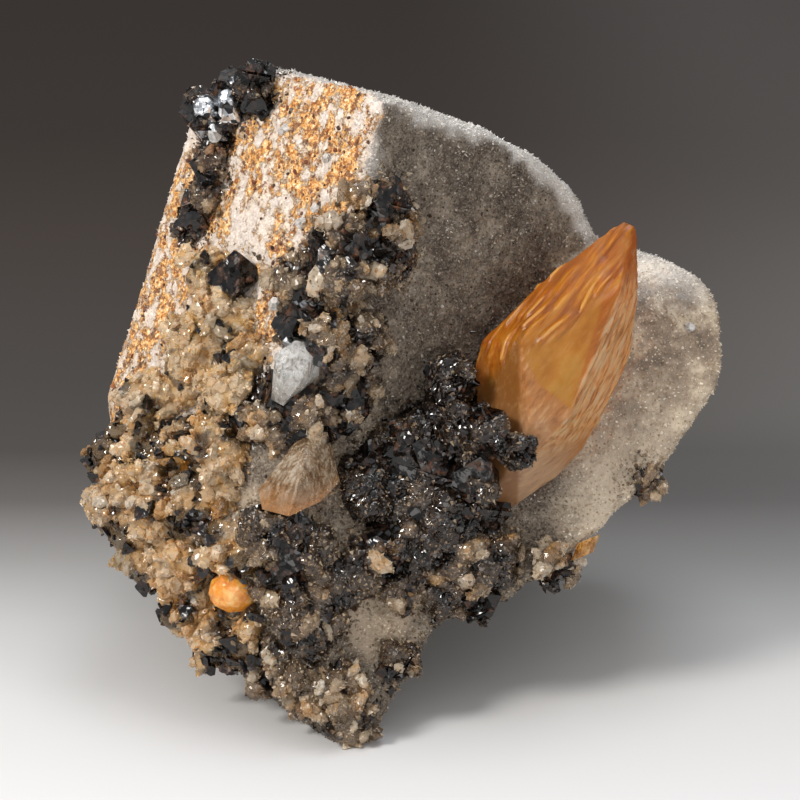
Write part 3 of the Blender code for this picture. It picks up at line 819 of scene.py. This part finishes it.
# %% Sphalerite finish
def finish_solid(node_name, material):
    """Give a CAD solid that stays its looks."""
    frame["nodes"][node_name].data.materials.clear()
    frame["nodes"][node_name].data.materials.append(material)


f = Finish("sphalerite_gloss", roughness=0.2, ior=1.5)
growth_steps = f.grain(0.7, 2.0, 0.5, stretch=(1, 10, 1), turn=(0.5, 0.3, 0.8))
patch = f.grain(3.0, 4.0, 0.65)
blende_material = f.feed(
    base_color=f.ramp(patch, [(0.35, "050404"), (0.5, "0e0b09"), (0.6, "2c1b11"), (0.7, "6a4022")]),
    roughness=0.1 + 0.4 * patch.between(0.5, 0.64),
    normal=f.bump(growth_steps, 0.15, 0.6, f.facets(1.3, 0.45)))
for node_name in SPHALERITE_NODES:
    finish_solid(node_name, blende_material)
print("black finish on", len(SPHALERITE_NODES), "solids")


# %% [markdown]
# ## The druse over the clusters
# On the real piece a later growth of small calcites and quartz covers most of the black
# crystals and all of the crusts: lumps of three to five millimetres, each a bundle of smaller
# crystals, with dark hollows between them. One bed makes it. It is a remeshed copy of all the
# cluster solids, raised into lumps by code, because the height has to depend on the place:
# high where calcite is thick, and sunk where the black crystals should break through.

# %% What grows where
BED_NODES = HONEY_NODES + [n for n in SPHALERITE_NODES if n != "sphalerite_pyramid"]
# How warm the druse is on each solid, and how much black breaks through it.
WARMTH_AND_BLACK = {
    "calcite_druse_upper": (1.28, -0.2), "calcite_druse_left": (0.98, 0.06),
    "calcite_druse_lower": (0.98, 0.04), "sphalerite_crown": (0.12, 0.3),
    "sphalerite_left": (0.4, 0.05), "sphalerite_ridge": (0.47, 0.1),
    "sphalerite_middle": (0.52, 0.02), "sphalerite_front": (0.34, 0.0),
    "sphalerite_foot": (0.52, -0.08), "sphalerite_drop": (0.36, 0.1),
    "sphalerite_valley": (0.08, -0.04), "sphalerite_under": (0.3, -0.1),
    "sphalerite_lobe": (0.5, 0.0), "sphalerite_rim": (0.5, 0.1)}
RUSTED = {"sphalerite_left": 0.95, "sphalerite_crown": 0.85}
owners = [node for node in BED_NODES for face in frame["nodes"][node].data.polygons]
bed_tree = tree_of(BED_NODES)


LEDGES = [
    line_through((7, -52, 38.5), (16, -49, 43), (28, -43, 47.5)),
    line_through((28, -49, 74), (30, -49, 76)),
    line_through((0, -52, 62), (8, -49, 66)),
    line_through((-6, -56, 45), (2, -54, 50))]


def ledge_highlight_at(p):
    """1 on the edges of the plates between the black crystals, which are painted tan as a
    highlight.
    """
    gap = min(gap_to_line(p, line) for line in LEDGES)
    return 1.0 - step(gap + 1.5 * noise.noise(p * 0.3), 1.5, 4.0)


def owner(p):
    """Name of the cluster solid nearest to a point."""
    return owners[bed_tree.find_nearest(p * MM)[2]]


def warm_at(p, n):
    """0 is nearly black druse, a half is grey-brown, 1 is honey."""
    patchy = 0.3 * noise.noise(p * 0.11) + 0.15 * noise.noise(p * 0.33)
    warmth = WARMTH_AND_BLACK[owner(p)][0]
    # The ledge term is a painted highlight on the plate edges.
    return max(0.0, min(1.35, warmth + patchy + 0.4 * ledge_highlight_at(p)))


def rusty_druse_at(p, n):
    """The crown and the mass at the left edge are partly rusted."""
    share = RUSTED.get(owner(p), 0.22)
    return share * step(noise.noise(p * 0.3) + 0.5 * noise.noise(p * 0.8), -0.15, 0.3)


def black_at(p, n):
    """1 where black crystals break through the druse."""
    cloud = noise.noise(p * 0.13 + Vector((7, 3, 5))) + 0.5 * noise.noise(p * 0.35)
    return step(cloud + WARMTH_AND_BLACK[owner(p)][1] - 0.5 * ledge_highlight_at(p), 0.08, 0.2)


def dome(p, size):
    """Height of rounded lumps of this size: 1 on top, 0 in the gaps."""
    return max(0.0, 1.0 - 1.3 * noise.voronoi(p / size)[0][0] ** 2)


def hollow_shade_at(p, n):
    """1 in the gaps between lumps, where the finish paints shade."""
    return 1.0 - step(dome(p, 5.5) + 0.4 * dome(p, 2.2), 0.25, 0.95)


def sugar_at(p, n):
    """Fine quartz, nearly everywhere but on the black."""
    return (1.0 - 0.85 * black_at(p, n)) * (1.0 - near_single(p))


def bud_at(p, n):
    """Calcite buds, on warm druse that isn't black."""
    warm = step(warm_at(p, n), 0.25, 0.6)
    return (1.0 - black_at(p, n)) * warm * (1.0 - 0.8 * ledge_highlight_at(p)) * (1.0 - near_single(p))


def lumps(p, n):
    """How far the bed rises above the solids, in millimetres; it sinks where black shows."""
    high = 1.9 * dome(p, 5.5) + 0.8 * dome(p, 2.2) + 0.8 * noise.noise(p * 0.16)
    high = high * (1.0 - near_single(p)) - 1.2 * near_single(p)
    if owner(p) in HONEY_NODES:
        return high - 0.6
    return high * (1.0 - 0.75 * black_at(p, n)) - 0.6 - 0.9 * black_at(p, n)


# %% [markdown]
# ## The bed
# All the cluster solids are joined and remeshed into one skin, so that no seams show between
# them. The places are painted first, while each point still lies on its own solid, and the
# points are raised afterwards.

# %% Bed of the druse
bed = welded_copy("druse_bed", *BED_NODES)
apply_modifier(bed, "REMESH", mode="VOXEL", voxel_size=0.75 * MM)
apply_modifier(bed, "SMOOTH", factor=0.5, iterations=2)
paint(rock, warm=warm_at, black=black_at, fringe=fringe_at)
paint(bed, warm=warm_at, black=black_at, rust=rusty_druse_at, hollow=hollow_shade_at, buds=bud_at,
      fine=sugar_at)
raised = [v.co + v.normal * lumps(v.co / MM, v.normal) * MM for v in bed.data.vertices]
bed.data.vertices.foreach_set("co", [c for co in raised for c in co])
bed.data.update()
print("bed of", len(raised), "points")

# %% [markdown]
# ## Finish of the druse
# One finish serves the bed and everything that grows on it: grey-brown where it is cool, honey with
# amber spots where it is warm, and darkened by painted shade in the hollows. Part of the light goes
# through, as in small calcites, and every grain has its own tone, so no two neighbours are alike.

# %% Druse finish
f = Finish("calcite_druse", roughness=0.2, ior=1.52, transmission_weight=0.62)
tone = f.own("tone")
warm = f.own("warm")
shade = f.grain(4.0, 3.0, 0.6)
veil = f.grain(1.3, 3.0, 0.6)
# Painted shade: the colour darkens in the hollows between lumps.
bright = warm * 0.5 + tone * 0.38 + shade * 0.3 + veil * 0.4 - 0.22 - 0.36 * f.own("hollow")
beige = f.ramp(bright, [
    (0.06, "17110d"), (0.22, "45372b"), (0.36, "88725c"), (0.5, "c4aa89"), (0.66, "e8d4b6"),
    (0.86, "f9f2e6")])
honey = f.ramp(bright, [
    (0.06, "1c130a"), (0.2, "4e3824"), (0.32, "a0723e"), (0.45, "dea866"), (0.6, "f8c88a"),
    (0.84, "ffe6c0")])
amber = f.ramp(bright, [(0.1, "2c1406"), (0.28, "96561e"), (0.46, "e09a42"), (0.75, "fccb7c")])
spots = f.grain(3.4, 3.0, 0.6).between(0.5, 0.62) * warm.between(0.6, 1.1)
spotted = f.layers(honey, (spots * 0.75, amber))
ground_tan = (f.own("tan") + f.own("pale")).between(0.1, 1.0)
druse_colour = f.layers(
    beige,
    ((warm * 0.55 + f.grain(6.0, 3.0, 0.6)).between(0.74, 1.08), spotted),
    (ground_tan * 0.7, f.ramp(tone, [(0.1, "7c6a56"), (0.9, "d0c2ac")])),
    (f.own("rust") * 0.75, f.ramp(tone, [(0.1, "3a1c10"), (0.5, "7c4620"), (0.9, "b97c42")])),
    (f.own("black") * (1.0 - ground_tan) * 0.75, "1a130e"))
druse_material = f.feed(
    base_color=druse_colour, roughness=0.07 + 0.25 * tone, normal=f.facets(0.8, 0.4))
# A material and its slot, for every piece that grows in it.
HONEY = druse_material, "calcite_honey"
BLACK = blende_material, "sphalerite"

# %% [markdown]
# ## Crystals on the bed
# Knobbly buds of calcite come first. Fine quartz then grows on the buds and the bed together,
# like sugar on fruit, for which a joined copy of both is the ground. Black crystals break
# through wherever the druse is sunk.

# %% Crystals on the bed
buds = grow("calcite_buds", bed, "bud", *HONEY, 2.7, (1.6, 6.5), "buds", 1.2, 41)
copies = [new_object(part.name + "_copy", part.data.copy()) for part in (bed, buds)]
sugar_ground = joined("sugar_ground", copies)
grow("coarse_druse", sugar_ground, "quartz", *HONEY, 1.25, (0.7, 1.5), "fine", 1.0, 31, 0.8)
grow("fine_druse", sugar_ground, "quartz", *HONEY, 0.85, (0.4, 0.8), "fine", 1.0, 35, 0.5)
bpy.data.objects.remove(sugar_ground)
grow("sphalerite_small", bed, "blende", *BLACK, 2.6, (1.4, 5.0), "black", 1.2, 21)
dress(bed, *HONEY, *HONEY_NODES)

# %% [markdown]
# ## Fringe
# On the real piece a cluster doesn't end at a line: its crystals thin out over a few
# millimetres of bare rock. The same seeds are grown on the rock itself, thick beside the
# clusters and thin further off, and they hide the edge of the bed.

# %% Fringe round the clusters
grow("fringe_druse", rock, "quartz", *HONEY, 0.9, (0.6, 1.7), "fringe", 1.0, 51)
grow("fringe_buds", rock, "calcite", *HONEY, 2.6, (0.8, 2.4), "fringe", 1.0, 52, 0.4)
grow("fringe_black", rock, "blende", *BLACK, 2.0, (0.8, 3.0), "border", 1.1, 53, 0.6)


# %% [markdown]
# ## The golden calcite
# A single crystal eight centimetres long with a broad golden face, an orange tip and etched
# ridges that run up its faces. A hull round its corners gives the same facets as the CAD solid
# has. It is remeshed finely enough to carry the ridges as real relief, which catch the light
# as they do in the stone.

# %% Golden crystal
GOLDEN_CORNERS = [
    # The crease above the broad face, and the corners round that face.
    (29.4, -38.9, 93.9), (29.4, -42.4, 87.9), (33.7, -44.3, 85.0), (38.1, -48.2, 77.8),
    (40.5, -48.0, 78.4), (42.8, -45.0, 84.8), (44.2, -42.2, 90.6), (46.2, -39.8, 96.0),
    (48.8, -36.0, 103.4), (53.3, -34.0, 105.3), (31.1, -49.6, 77.0), (32.9, -49.9, 70.6),
    (26.7, -48.9, 66.1),
    # The outline, from the tip down the left side and up the right one.
    (55.3, -19.7, 120.0), (58.0, -20.0, 118.9), (58.6, -20.2, 116.0), (48.8, -21.7, 116.0),
    (34.8, -25.7, 106.0), (19.9, -28.0, 91.3), (18.5, -30.0, 85.8), (58.6, -24.7, 101.0),
    (57.6, -26.7, 94.5), (56.6, -28.7, 87.0), (53.4, -31.7, 81.0), (50.6, -32.7, 75.5),
    (45.3, -35.7, 66.0), (38.3, -39.7, 59.5), (26.8, -43.7, 53.0), (18.3, -43.7, 51.0),
    (17.0, -41.7, 57.5),
    # The back.
    (50.3, -10.5, 102.0), (51.5, -11.5, 95.0), (41.2, -14.7, 90.6), (31.7, -20.5, 83.7),
    (22.5, -26.5, 76.0), (19.6, -34.4, 61.1), (19.3, -38.4, 51.8), (37.8, -34.1, 60.4),
    (47.2, -26.4, 73.3), (53.0, -16.6, 88.2)]
golden = new_object("golden_crystal", bpy.data.meshes.new("golden_crystal"))
golden.data.from_pydata([Vector(c) * MM for c in GOLDEN_CORNERS], [], [])
with editing(golden):
    bpy.ops.mesh.convex_hull()
    bpy.ops.mesh.dissolve_limited(angle_limit=math.radians(4))
    bpy.ops.mesh.select_all(action="SELECT")
    bpy.ops.mesh.bevel(offset=0.15 * MM, segments=1, affect="EDGES")
print("golden crystal has", len(golden.data.polygons), "faces before etching")
apply_modifier(golden, "REMESH", mode="VOXEL", voxel_size=0.38 * MM)
apply_modifier(golden, "SMOOTH", factor=0.5, iterations=2)

# %% [markdown]
# ## Etching
# Acid water ate long steps into the faces: narrow raised strips that start and end at their own
# places. A noise texture can't draw strips with ends, so a small function numbers the strips
# across a face, cuts each into pieces and gives every piece its own height. The points are then
# moved along their normals, and the heights are kept for the finish.

# %% Etching the golden crystal
FOOT_END = Vector((18.3, -43.7, 51.0))
TIP = Vector((57.3, -19.7, 119.5))
LENGTH_WAY = (TIP - FOOT_END).normalized()
CREASE_START = Vector((29.4, -38.9, 93.9))
ABOVE_CREASE = Vector((-0.43, 0.3, 0.85)).normalized()
# Above the crease and on the right face: which way strips run, the face's normal, their width
# in millimetres, and a number that makes their random values their own.
STREAK_WAY = Vector((0.62, 0.50, 0.60)).normalized()
UPPER_STRIPS = STREAK_WAY, Vector((-0.29, -0.56, 0.77)).normalized(), 1.9, 1
RIGHT_FACE_WAY = Vector((0.34, 0.546, 0.766)).normalized()
RIGHT_STRIPS = RIGHT_FACE_WAY, Vector((0.75, -0.65, 0.13)).normalized(), 1.4, 2
PIECE_LENGTH = 12.0


def dice(number, salt):
    """A fixed random value from 0 to 1 for a whole number."""
    return (math.sin(number * 12.9898 + salt * 78.233) * 43758.5453) % 1.0


def lath(p, way, face_normal, width, salt):
    """Which long raised strip a point is on, and how high it is there. Strips come in pieces."""
    wave = 1.2 * noise.noise(p * 0.06 + Vector((salt, 0, 0)))
    across = p.dot(way.cross(face_normal)) / width + wave
    number = math.floor(across)
    part = across - number
    along = p.dot(way) / PIECE_LENGTH + 7.0 * dice(number, salt + 5)
    piece = math.floor(along)
    ends = min(1.0, (along - piece) / 0.15, (piece + 1.0 - along) / 0.45)
    sides = min(part / 0.7, (1.0 - part) / 0.3, 0.8)
    return number, dice(3 * number + piece, salt) ** 1.3 * ends * sides


def streaked_at(p, n):
    """The streaked orange zone above the golden middle; each strip starts at its own height."""
    number = lath(p, *UPPER_STRIPS)[0]
    height = (p - CREASE_START).dot(ABOVE_CREASE) + 9.0 * (dice(number, 3) - 0.5)
    return step(height, -5.0, 1.0) * step(0.5 - n.x, 0, 0.3)


def etched_at(p, n):
    """The pinkish faces at the right, covered with upright strips."""
    return step(n.x, 0.3, 0.6) * step(p.z, 66, 74) * step(112 - p.z, 0, 10)


FACE_EDGES = [
    ((29.4, 77.3), (29.4, 70.5)), ((29.4, 70.5), (33.7, 67.2)), ((33.7, 67.2), (38.3, 58.8)),
    ((40.6, 59.5), (48.8, 87.2))]


def inside_face(p):
    """Distance in mm into the broad golden face, seen square on; negative outside."""
    u, v = p.x, 0.951 * p.z + 0.309 * p.y
    return min(((v - v0) * (u1 - u0) - (u - u0) * (v1 - v0)) / math.hypot(u1 - u0, v1 - v0)
               for (u0, v0), (u1, v1) in FACE_EDGES)


def face_at(p, n):
    """1 on the broad golden face."""
    return step(inside_face(p), -0.4, 0.4) * step(0.6 - n.x, 0, 0.2)


WORN_EDGE = line_through(
    (29.4, -38.9, 93.9), (29.4, -42.4, 87.9), (31.1, -49.6, 77.0), (32.9, -49.9, 70.6))


def worn_at(p, n):
    """1 along the rubbed left edge of the broad face."""
    return 1.0 - step(gap_to_line(p, WORN_EDGE), 0.6, 1.8)


def shaded_left_at(p, n):
    """1 on the face at the left, which the finish paints darker as shade."""
    return step(29.2 - p.x, 0.0, 1.0)


def along_at(p, n):
    """0 at the foot of the crystal, 1 at its tip."""
    return (p - FOOT_END).dot(LENGTH_WAY) / (TIP - FOOT_END).length


def etch(p, n):
    """Height of the strips in millimetres."""
    upper = streaked_at(p, n) * lath(p, *UPPER_STRIPS)[1]
    right = 0.75 * etched_at(p, n) * lath(p, *RIGHT_STRIPS)[1]
    breaks = 0.5 + 0.5 * step(noise.noise(p * 0.35), -0.2, 0.2)
    return upper + right * breaks


heights = [etch(v.co / MM, v.normal) for v in golden.data.vertices]
normals = [v.normal.copy() for v in golden.data.vertices]
paint(golden, streaked=streaked_at, etched=etched_at, face=face_at, worn=worn_at, left=shaded_left_at,
      along=along_at)
golden.data.attributes.new("crest", "FLOAT", "POINT").data.foreach_set("value", heights)
for vertex, normal, height in zip(golden.data.vertices, normals, heights):
    vertex.co += normal * (height + 0.2 * noise.noise(vertex.co / MM * 0.15)) * MM
apply_modifier(golden, "SMOOTH", factor=0.5, iterations=1)
bpy.ops.object.shade_smooth()
print("strips stand up to", round(max(heights), 2), "mm high")

# %% [markdown]
# ## Golden finish
# The stone is honey-golden and half clear: light enters, loses its blue on the way and comes back
# orange. Transmission, a little scattering below the surface and absorption inside give that. The
# painted zones set the colour: pinkish at the foot, golden in the broad face, deep orange above it,
# painted shade on the face at the left, and a pale on the etched face at the right that is painted
# light, as if lit through from inside. The strips are painted lighter on their crests as highlight
# and darker between them as shade.

# %% Golden finish
f = Finish("golden_calcite", roughness=0.2, ior=1.5, specular_ior_level=0.12,
           transmission_weight=0.55, subsurface_weight=0.3,
           subsurface_radius=(1.0, 0.65, 0.3), subsurface_scale=2.0 * MM)
cloud = f.grain(9.0, 4.0, 0.6)
streak_turn = Vector((1, 0, 0)).rotation_difference(STREAK_WAY).to_euler()
right_turn = Vector((1, 0, 0)).rotation_difference(RIGHT_FACE_WAY).to_euler()
wisps = f.grain(1.8, 3.0, 0.6, stretch=(7, 1, 1), turn=streak_turn)
veins = f.grain(1.6, 4.0, 0.7, stretch=(7, 1, 1), turn=streak_turn)
scratches = f.grain(1.1, 3.0, 0.55, stretch=(7, 1, 1), turn=right_turn)
face, left, streaked = f.own("face"), f.own("left"), f.own("streaked")
etched, crest = f.own("etched"), f.own("crest")
veined = (1.0 - 0.75 * face) * (1.0 - 0.8 * streaked) * (1.0 - 0.6 * left)
gold = f.layers(
    f.ramp(f.own("along") + 0.2 * (cloud - 0.5), [
        (0.0, "c09a84"), (0.2, "dcb088"), (0.36, "ca8a50"), (0.5, "c88034"), (0.72, "c87420"),
        (0.95, "c06412")]),
    # Painted shade: the face at the left is darker.
    (left * 0.7, "8e560c"),
    (face * 0.9, f.ramp(cloud * 0.7 + wisps * 0.3, [
        (0.35, "b8751b"), (0.5, "ca882a"), (0.65, "d4a048")])),
    (streaked, f.ramp(wisps, [
        (0.36, "a2580c"), (0.48, "c2720e"), (0.58, "d68a1e"), (0.7, "f0b04c")])),
    # Pinkish with streaks, and painted light: pale as if lit through from inside.
    (etched * 0.9, f.ramp(scratches, [
        (0.36, "b86e34"), (0.46, "f2aa62"), (0.56, "ffcc8c"), (0.66, "ffe0b4")])),
    # Painted shade between the strips and painted highlight on their crests.
    ((1.0 - crest.between(0.02, 0.14)) * streaked * 0.3, "8a4a08"),
    (crest.between(0.36, 0.56) * 0.74, "f8b862"),
    (veins.between(0.52, 0.64) * veined * 0.35, "ffd8a0"),
    ((1.0 - veins.between(0.36, 0.48)) * veined * 0.4, "7c4218"))
golden_material = f.feed(
    base_color=gold, roughness=0.24 + 0.25 * f.grain(3.0, 3.0, 0.6) + 0.5 * f.own("worn"),
    normal=f.bump(wisps * streaked * 0.4 + scratches * etched * 0.8, 0.6, 0.8))
absorb = f.node("ShaderNodeVolumeAbsorption", None,
                {"Color": (1.0, 0.68, 0.16, 1.0), "Density": 60.0})
f.tree.links.new(absorb.socket, f.tree.nodes["Material Output"].inputs["Volume"])
dress(golden, golden_material, "calcite_golden", "calcite_golden")

# %% [markdown]
# ## Single crystals
# Some crystals stand out by size: black ones with stepped faces, a few as bright as a mirror,
# clear ones on the rusty face, and the round orange button low at the left. Each starts as a
# primitive where the real one sits, half sunk in what carries it. Insets with a small rise
# give the growth steps, which are real edges and catch the light.

# %% Stepped black crystals
def stepped_crystal(place, size, turn, sides, top):
    """A blunt pyramid with two growth steps on each face; place and size in millimetres."""
    bpy.ops.mesh.primitive_cone_add(
        vertices=sides, radius1=0.62 * size * MM, radius2=top * size * MM, depth=0.95 * size * MM,
        location=Vector(place) * MM, rotation=turn)
    made = bpy.context.object
    cut_corners(made, 0.13 * size * MM)
    with editing(made):
        bpy.ops.mesh.select_mode(type="FACE")
        for rise in (0.02, -0.015):
            bpy.ops.mesh.inset(
                thickness=0.06 * size * MM, depth=rise * size * MM, use_individual=True)
    settle()
    return made


def stepped_crystals(rows, top=0.12):
    """One crystal for each row: x, y, z and size in millimetres, three turns, number of sides."""
    return [stepped_crystal(row[:3], row[3], row[4:7], row[7], top) for row in rows]


BLACK_CRYSTALS = [
    (-35.5, -8.5, 150.5, 9.5, 0.5, -0.3, 0.4, 4), (-33.0, -9.0, 146.0, 6.0, 0.9, 0.2, 1.4, 3),
    (-43.5, -1.5, 136.5, 5.5, 1.2, -0.5, 0.3, 4), (-52.5, -3.0, 121.5, 5.5, 1.3, 0.2, 0.9, 3),
    (-54.5, -4.5, 113.0, 4.5, 1.0, 0.6, 0.1, 4), (-10.2, -37.0, 127.6, 6.5, 1.1, 0.4, 0.2, 4),
    (-1.0, -36.5, 125.5, 5.5, 0.6, -0.2, 0.6, 4), (-1.4, -36.0, 119.0, 5.5, 1.5, 0.3, 1.6, 4),
    (-16.9, -40.0, 121.5, 5.0, 0.9, 0.2, 2.2, 3), (-12.3, -41.5, 97.5, 7.0, 1.2, -0.2, 0.8, 4),
    (-7.5, -39.5, 92.5, 6.0, 1.5, 0.4, 0.4, 3), (-17.2, -44.0, 76.8, 5.0, 1.0, 0.2, 1.2, 4),
    (-34.4, -38.0, 84.5, 4.0, 1.2, 0.5, 0.5, 3), (-65.0, -33.0, 61.0, 6.0, 1.0, -0.6, 0.3, 4),
    (-44.5, -48.5, 56.0, 6.0, 1.2, -0.2, 0.9, 3), (-63.0, -39.5, 46.8, 4.0, 1.4, 0.2, 0.4, 4),
    (-28.6, -60.5, 34.5, 4.0, 1.3, 0.2, 0.3, 4), (-12.4, -64.5, 6.5, 6.5, 1.7, 0.3, 0.8, 3),
    (15.1, -38.0, 83.5, 7.5, 0.9, 0.1, 0.5, 4), (20.0, -47.0, 76.5, 10.0, 1.15, 0.35, 0.15, 4),
    (16.9, -45.5, 57.5, 7.0, 1.3, -0.3, 1.1, 3), (9.6, -49.5, 42.7, 6.5, 1.4, 0.5, 0.2, 4),
    (19.4, -47.5, 41.6, 6.0, 1.2, 0.1, 1.9, 3), (18.3, -47.5, 30.0, 8.5, 2.2, 0.4, 0.7, 3),
    (-0.2, -57.5, 19.0, 6.5, 1.6, -0.2, 0.5, 4), (62.3, -22.0, 60.5, 5.0, 1.2, 0.6, 0.2, 4)]
dress(joined("sphalerite_large", stepped_crystals(BLACK_CRYSTALS)), *BLACK)

# %% [markdown]
# ## Bright and clear crystals
# A few faces of the black crystals at the top flash like mirrors, because they face halfway between
# the lamp and the eye. They are turned to that direction, as waiting for a random one would be
# luck. Small clear quartz crystals on the rusty face are made the same way.

# %% Mirror-bright and clear crystals
f = Finish("mirror_sphalerite", roughness=0.12, metallic=0.85)
mirror_material = f.feed(
    base_color=f.ramp(f.node("ShaderNodeSeparateColor", None, {0: f.cell_colours(1.6)}), [
        (0.15, "2c2b2c"), (0.3, "76787c"), (0.6, "c4c8ce"), (0.8, "f2f4f6")]),
    roughness=0.1 + 0.25 * f.grain(0.9), normal=f.facets(1.6, 0.3))
BLUNT = 0.3
GLINT_WAY = Vector((-0.37, -0.77, 0.51))
# x, y, z and size, how far the face is turned off that direction, and number of sides.
MIRRORS = [
    (-48.0, -2.0, 144.0, 9.5, 0.0, 0.0, 0.0, 5), (-43.0, -5.0, 146.5, 7.5, 0.3, 0.1, 0.2, 5),
    (-46.5, -4.5, 139.5, 5.5, 0.0, 0.06, -0.04, 3), (-50.5, -0.5, 139.5, 4.5, -0.4, 0.2, 0.1, 4),
    (-41.5, -4.0, 151.0, 4.5, 0.2, -0.3, 0.5, 4), (-27.0, -47.0, 97.0, 3.0, 0.0, 0.0, 0.0, 3)]
mirrors = []
for row in MIRRORS:
    facing = (GLINT_WAY + Vector(row[4:7])).to_track_quat("Z", "Y").to_euler()
    mirrors.append(stepped_crystal(row[:3], row[3], facing, row[7], BLUNT))
dress(joined("sphalerite_bright", mirrors), mirror_material, "sphalerite")

f = Finish("clear_quartz", roughness=0.06, ior=1.54, transmission_weight=0.5)
clear_material = f.feed(base_color=f.ramp(f.grain(1.0, 2.0), [(0.4, "d8d4ce"), (0.6, "fbfaf8")]))
CLEAR_CRYSTALS = [
    (-28.3, -15.0, 142.0, 3.4, 0.9, -0.2, 0.3, 6), (-26.0, -17.5, 140.5, 2.4, 0.5, -0.6, 0.3, 5),
    (-18.0, -29.0, 138.0, 2.2, 1.0, -0.3, 0.1, 6), (-24.0, -31.0, 122.5, 2.6, 0.8, -0.5, 0.8, 6),
    (-20.5, -33.5, 126.5, 2.0, 1.1, -0.1, 0.5, 5), (-47.0, -6.0, 139.0, 3.0, 0.6, -0.5, 0.1, 6),
    (-30.5, -39.0, 104.5, 3.0, 0.9, -0.3, 0.2, 6), (73.2, -14.6, 91.0, 3.0, 1.2, 0.2, 0.3, 6)]
clears = joined("clear_crystals", stepped_crystals(CLEAR_CRYSTALS, BLUNT))
dress(clears, clear_material, "calcite_white")

# %% [markdown]
# ## Orange button
# A rounded crystal of milky orange calcite sits low at the left. An icosphere with its points
# nudged and its edges bevelled gives the blunt facets. Light scatters inside it, so it glows
# more than it shines.

# %% Orange button
BUTTON_PLACE = Vector((-41.2, -54.0, 35.4)) * MM
bpy.ops.mesh.primitive_ico_sphere_add(subdivisions=2, radius=6.1 * MM, location=BUTTON_PLACE)
button = bpy.context.object
button.name = "orange_button"
bpy.ops.transform.resize(value=(1.0, 0.75, 0.92), center_override=BUTTON_PLACE)
with editing(button):
    bpy.ops.transform.vertex_random(offset=0.35 * MM, seed=4)
    bpy.ops.mesh.bevel(offset=0.25 * MM, segments=2, affect="EDGES")
settle()
f = Finish("orange_calcite", roughness=0.2, ior=1.6, transmission_weight=0.15,
           subsurface_weight=1.0, subsurface_radius=(1.0, 0.5, 0.15), subsurface_scale=1.0 * MM)
button_material = f.feed(
    base_color=f.ramp(f.grain(2.5, 3.0, 0.6), [(0.32, "cc7c20"), (0.5, "e89c3c"), (0.7, "f8cc84")]),
    roughness=0.08 + 0.2 * f.grain(1.2))
dress(button, button_material, "calcite_golden", "calcite_orange")

# %% [markdown]
# ## Smaller clear crystals
# The white rhomb, the smoky crystal and two amber ones keep their CAD shapes, whose faces are
# right. Each gets streaks along its length, a veil that clouds part of it, and its own three
# shades. Two of them change colour towards the foot.

# %% Smaller clear crystals
# Solid, deep shade, middle shade, light shade, and the foot: below z, full at z, share, colour.
CLEAR_SOLIDS = [
    ("calcite_white", "a8a59e", "efede9", "ffffff", (93.0, 83.0, 0.6, "aca69c")),
    ("calcite_smoky", "7a6046", "b89a78", "e4d6c0", (67.0, 58.0, 0.8, "cf8c40")),
    ("calcite_amber_left", "8a5a24", "cf9545", "ecc88e", None),
    ("calcite_amber_right", "94602a", "d09442", "ecc88e", None)]
for node_name, deep, middle_shade, light, foot in CLEAR_SOLIDS:
    f = Finish(node_name + "_finish", roughness=0.12, ior=1.5, transmission_weight=0.65)
    streaks = f.grain(0.7, 3.0, 0.6, stretch=(1, 1, 9), turn=(0.1, 0.25, 0))
    veil = f.grain(3.0, 3.0, 0.6)
    surface = f.ramp(veil * 0.4 + streaks * 0.6, [(0.4, deep), (0.5, middle_shade), (0.6, light)])
    if foot:
        top, bottom, share, foot_shade = foot
        surface = f.layers(surface, ((1.0 - f.z.between(bottom, top)) * share, foot_shade))
    finish_solid(node_name, f.feed(
        base_color=surface, roughness=0.08 + 0.3 * veil.between(0.45, 0.6),
        normal=f.bump(streaks, 0.2, 0.8)))
print("clear finishes on", len(CLEAR_SOLIDS), "solids")

# %% [markdown]
# ## Finish
# The seeds were only patterns, so they are removed.

# %% Tidy the workshop and finish
for group in seeds.values():
    for obj in list(group.objects):
        bpy.data.objects.remove(obj)
    bpy.data.collections.remove(group)
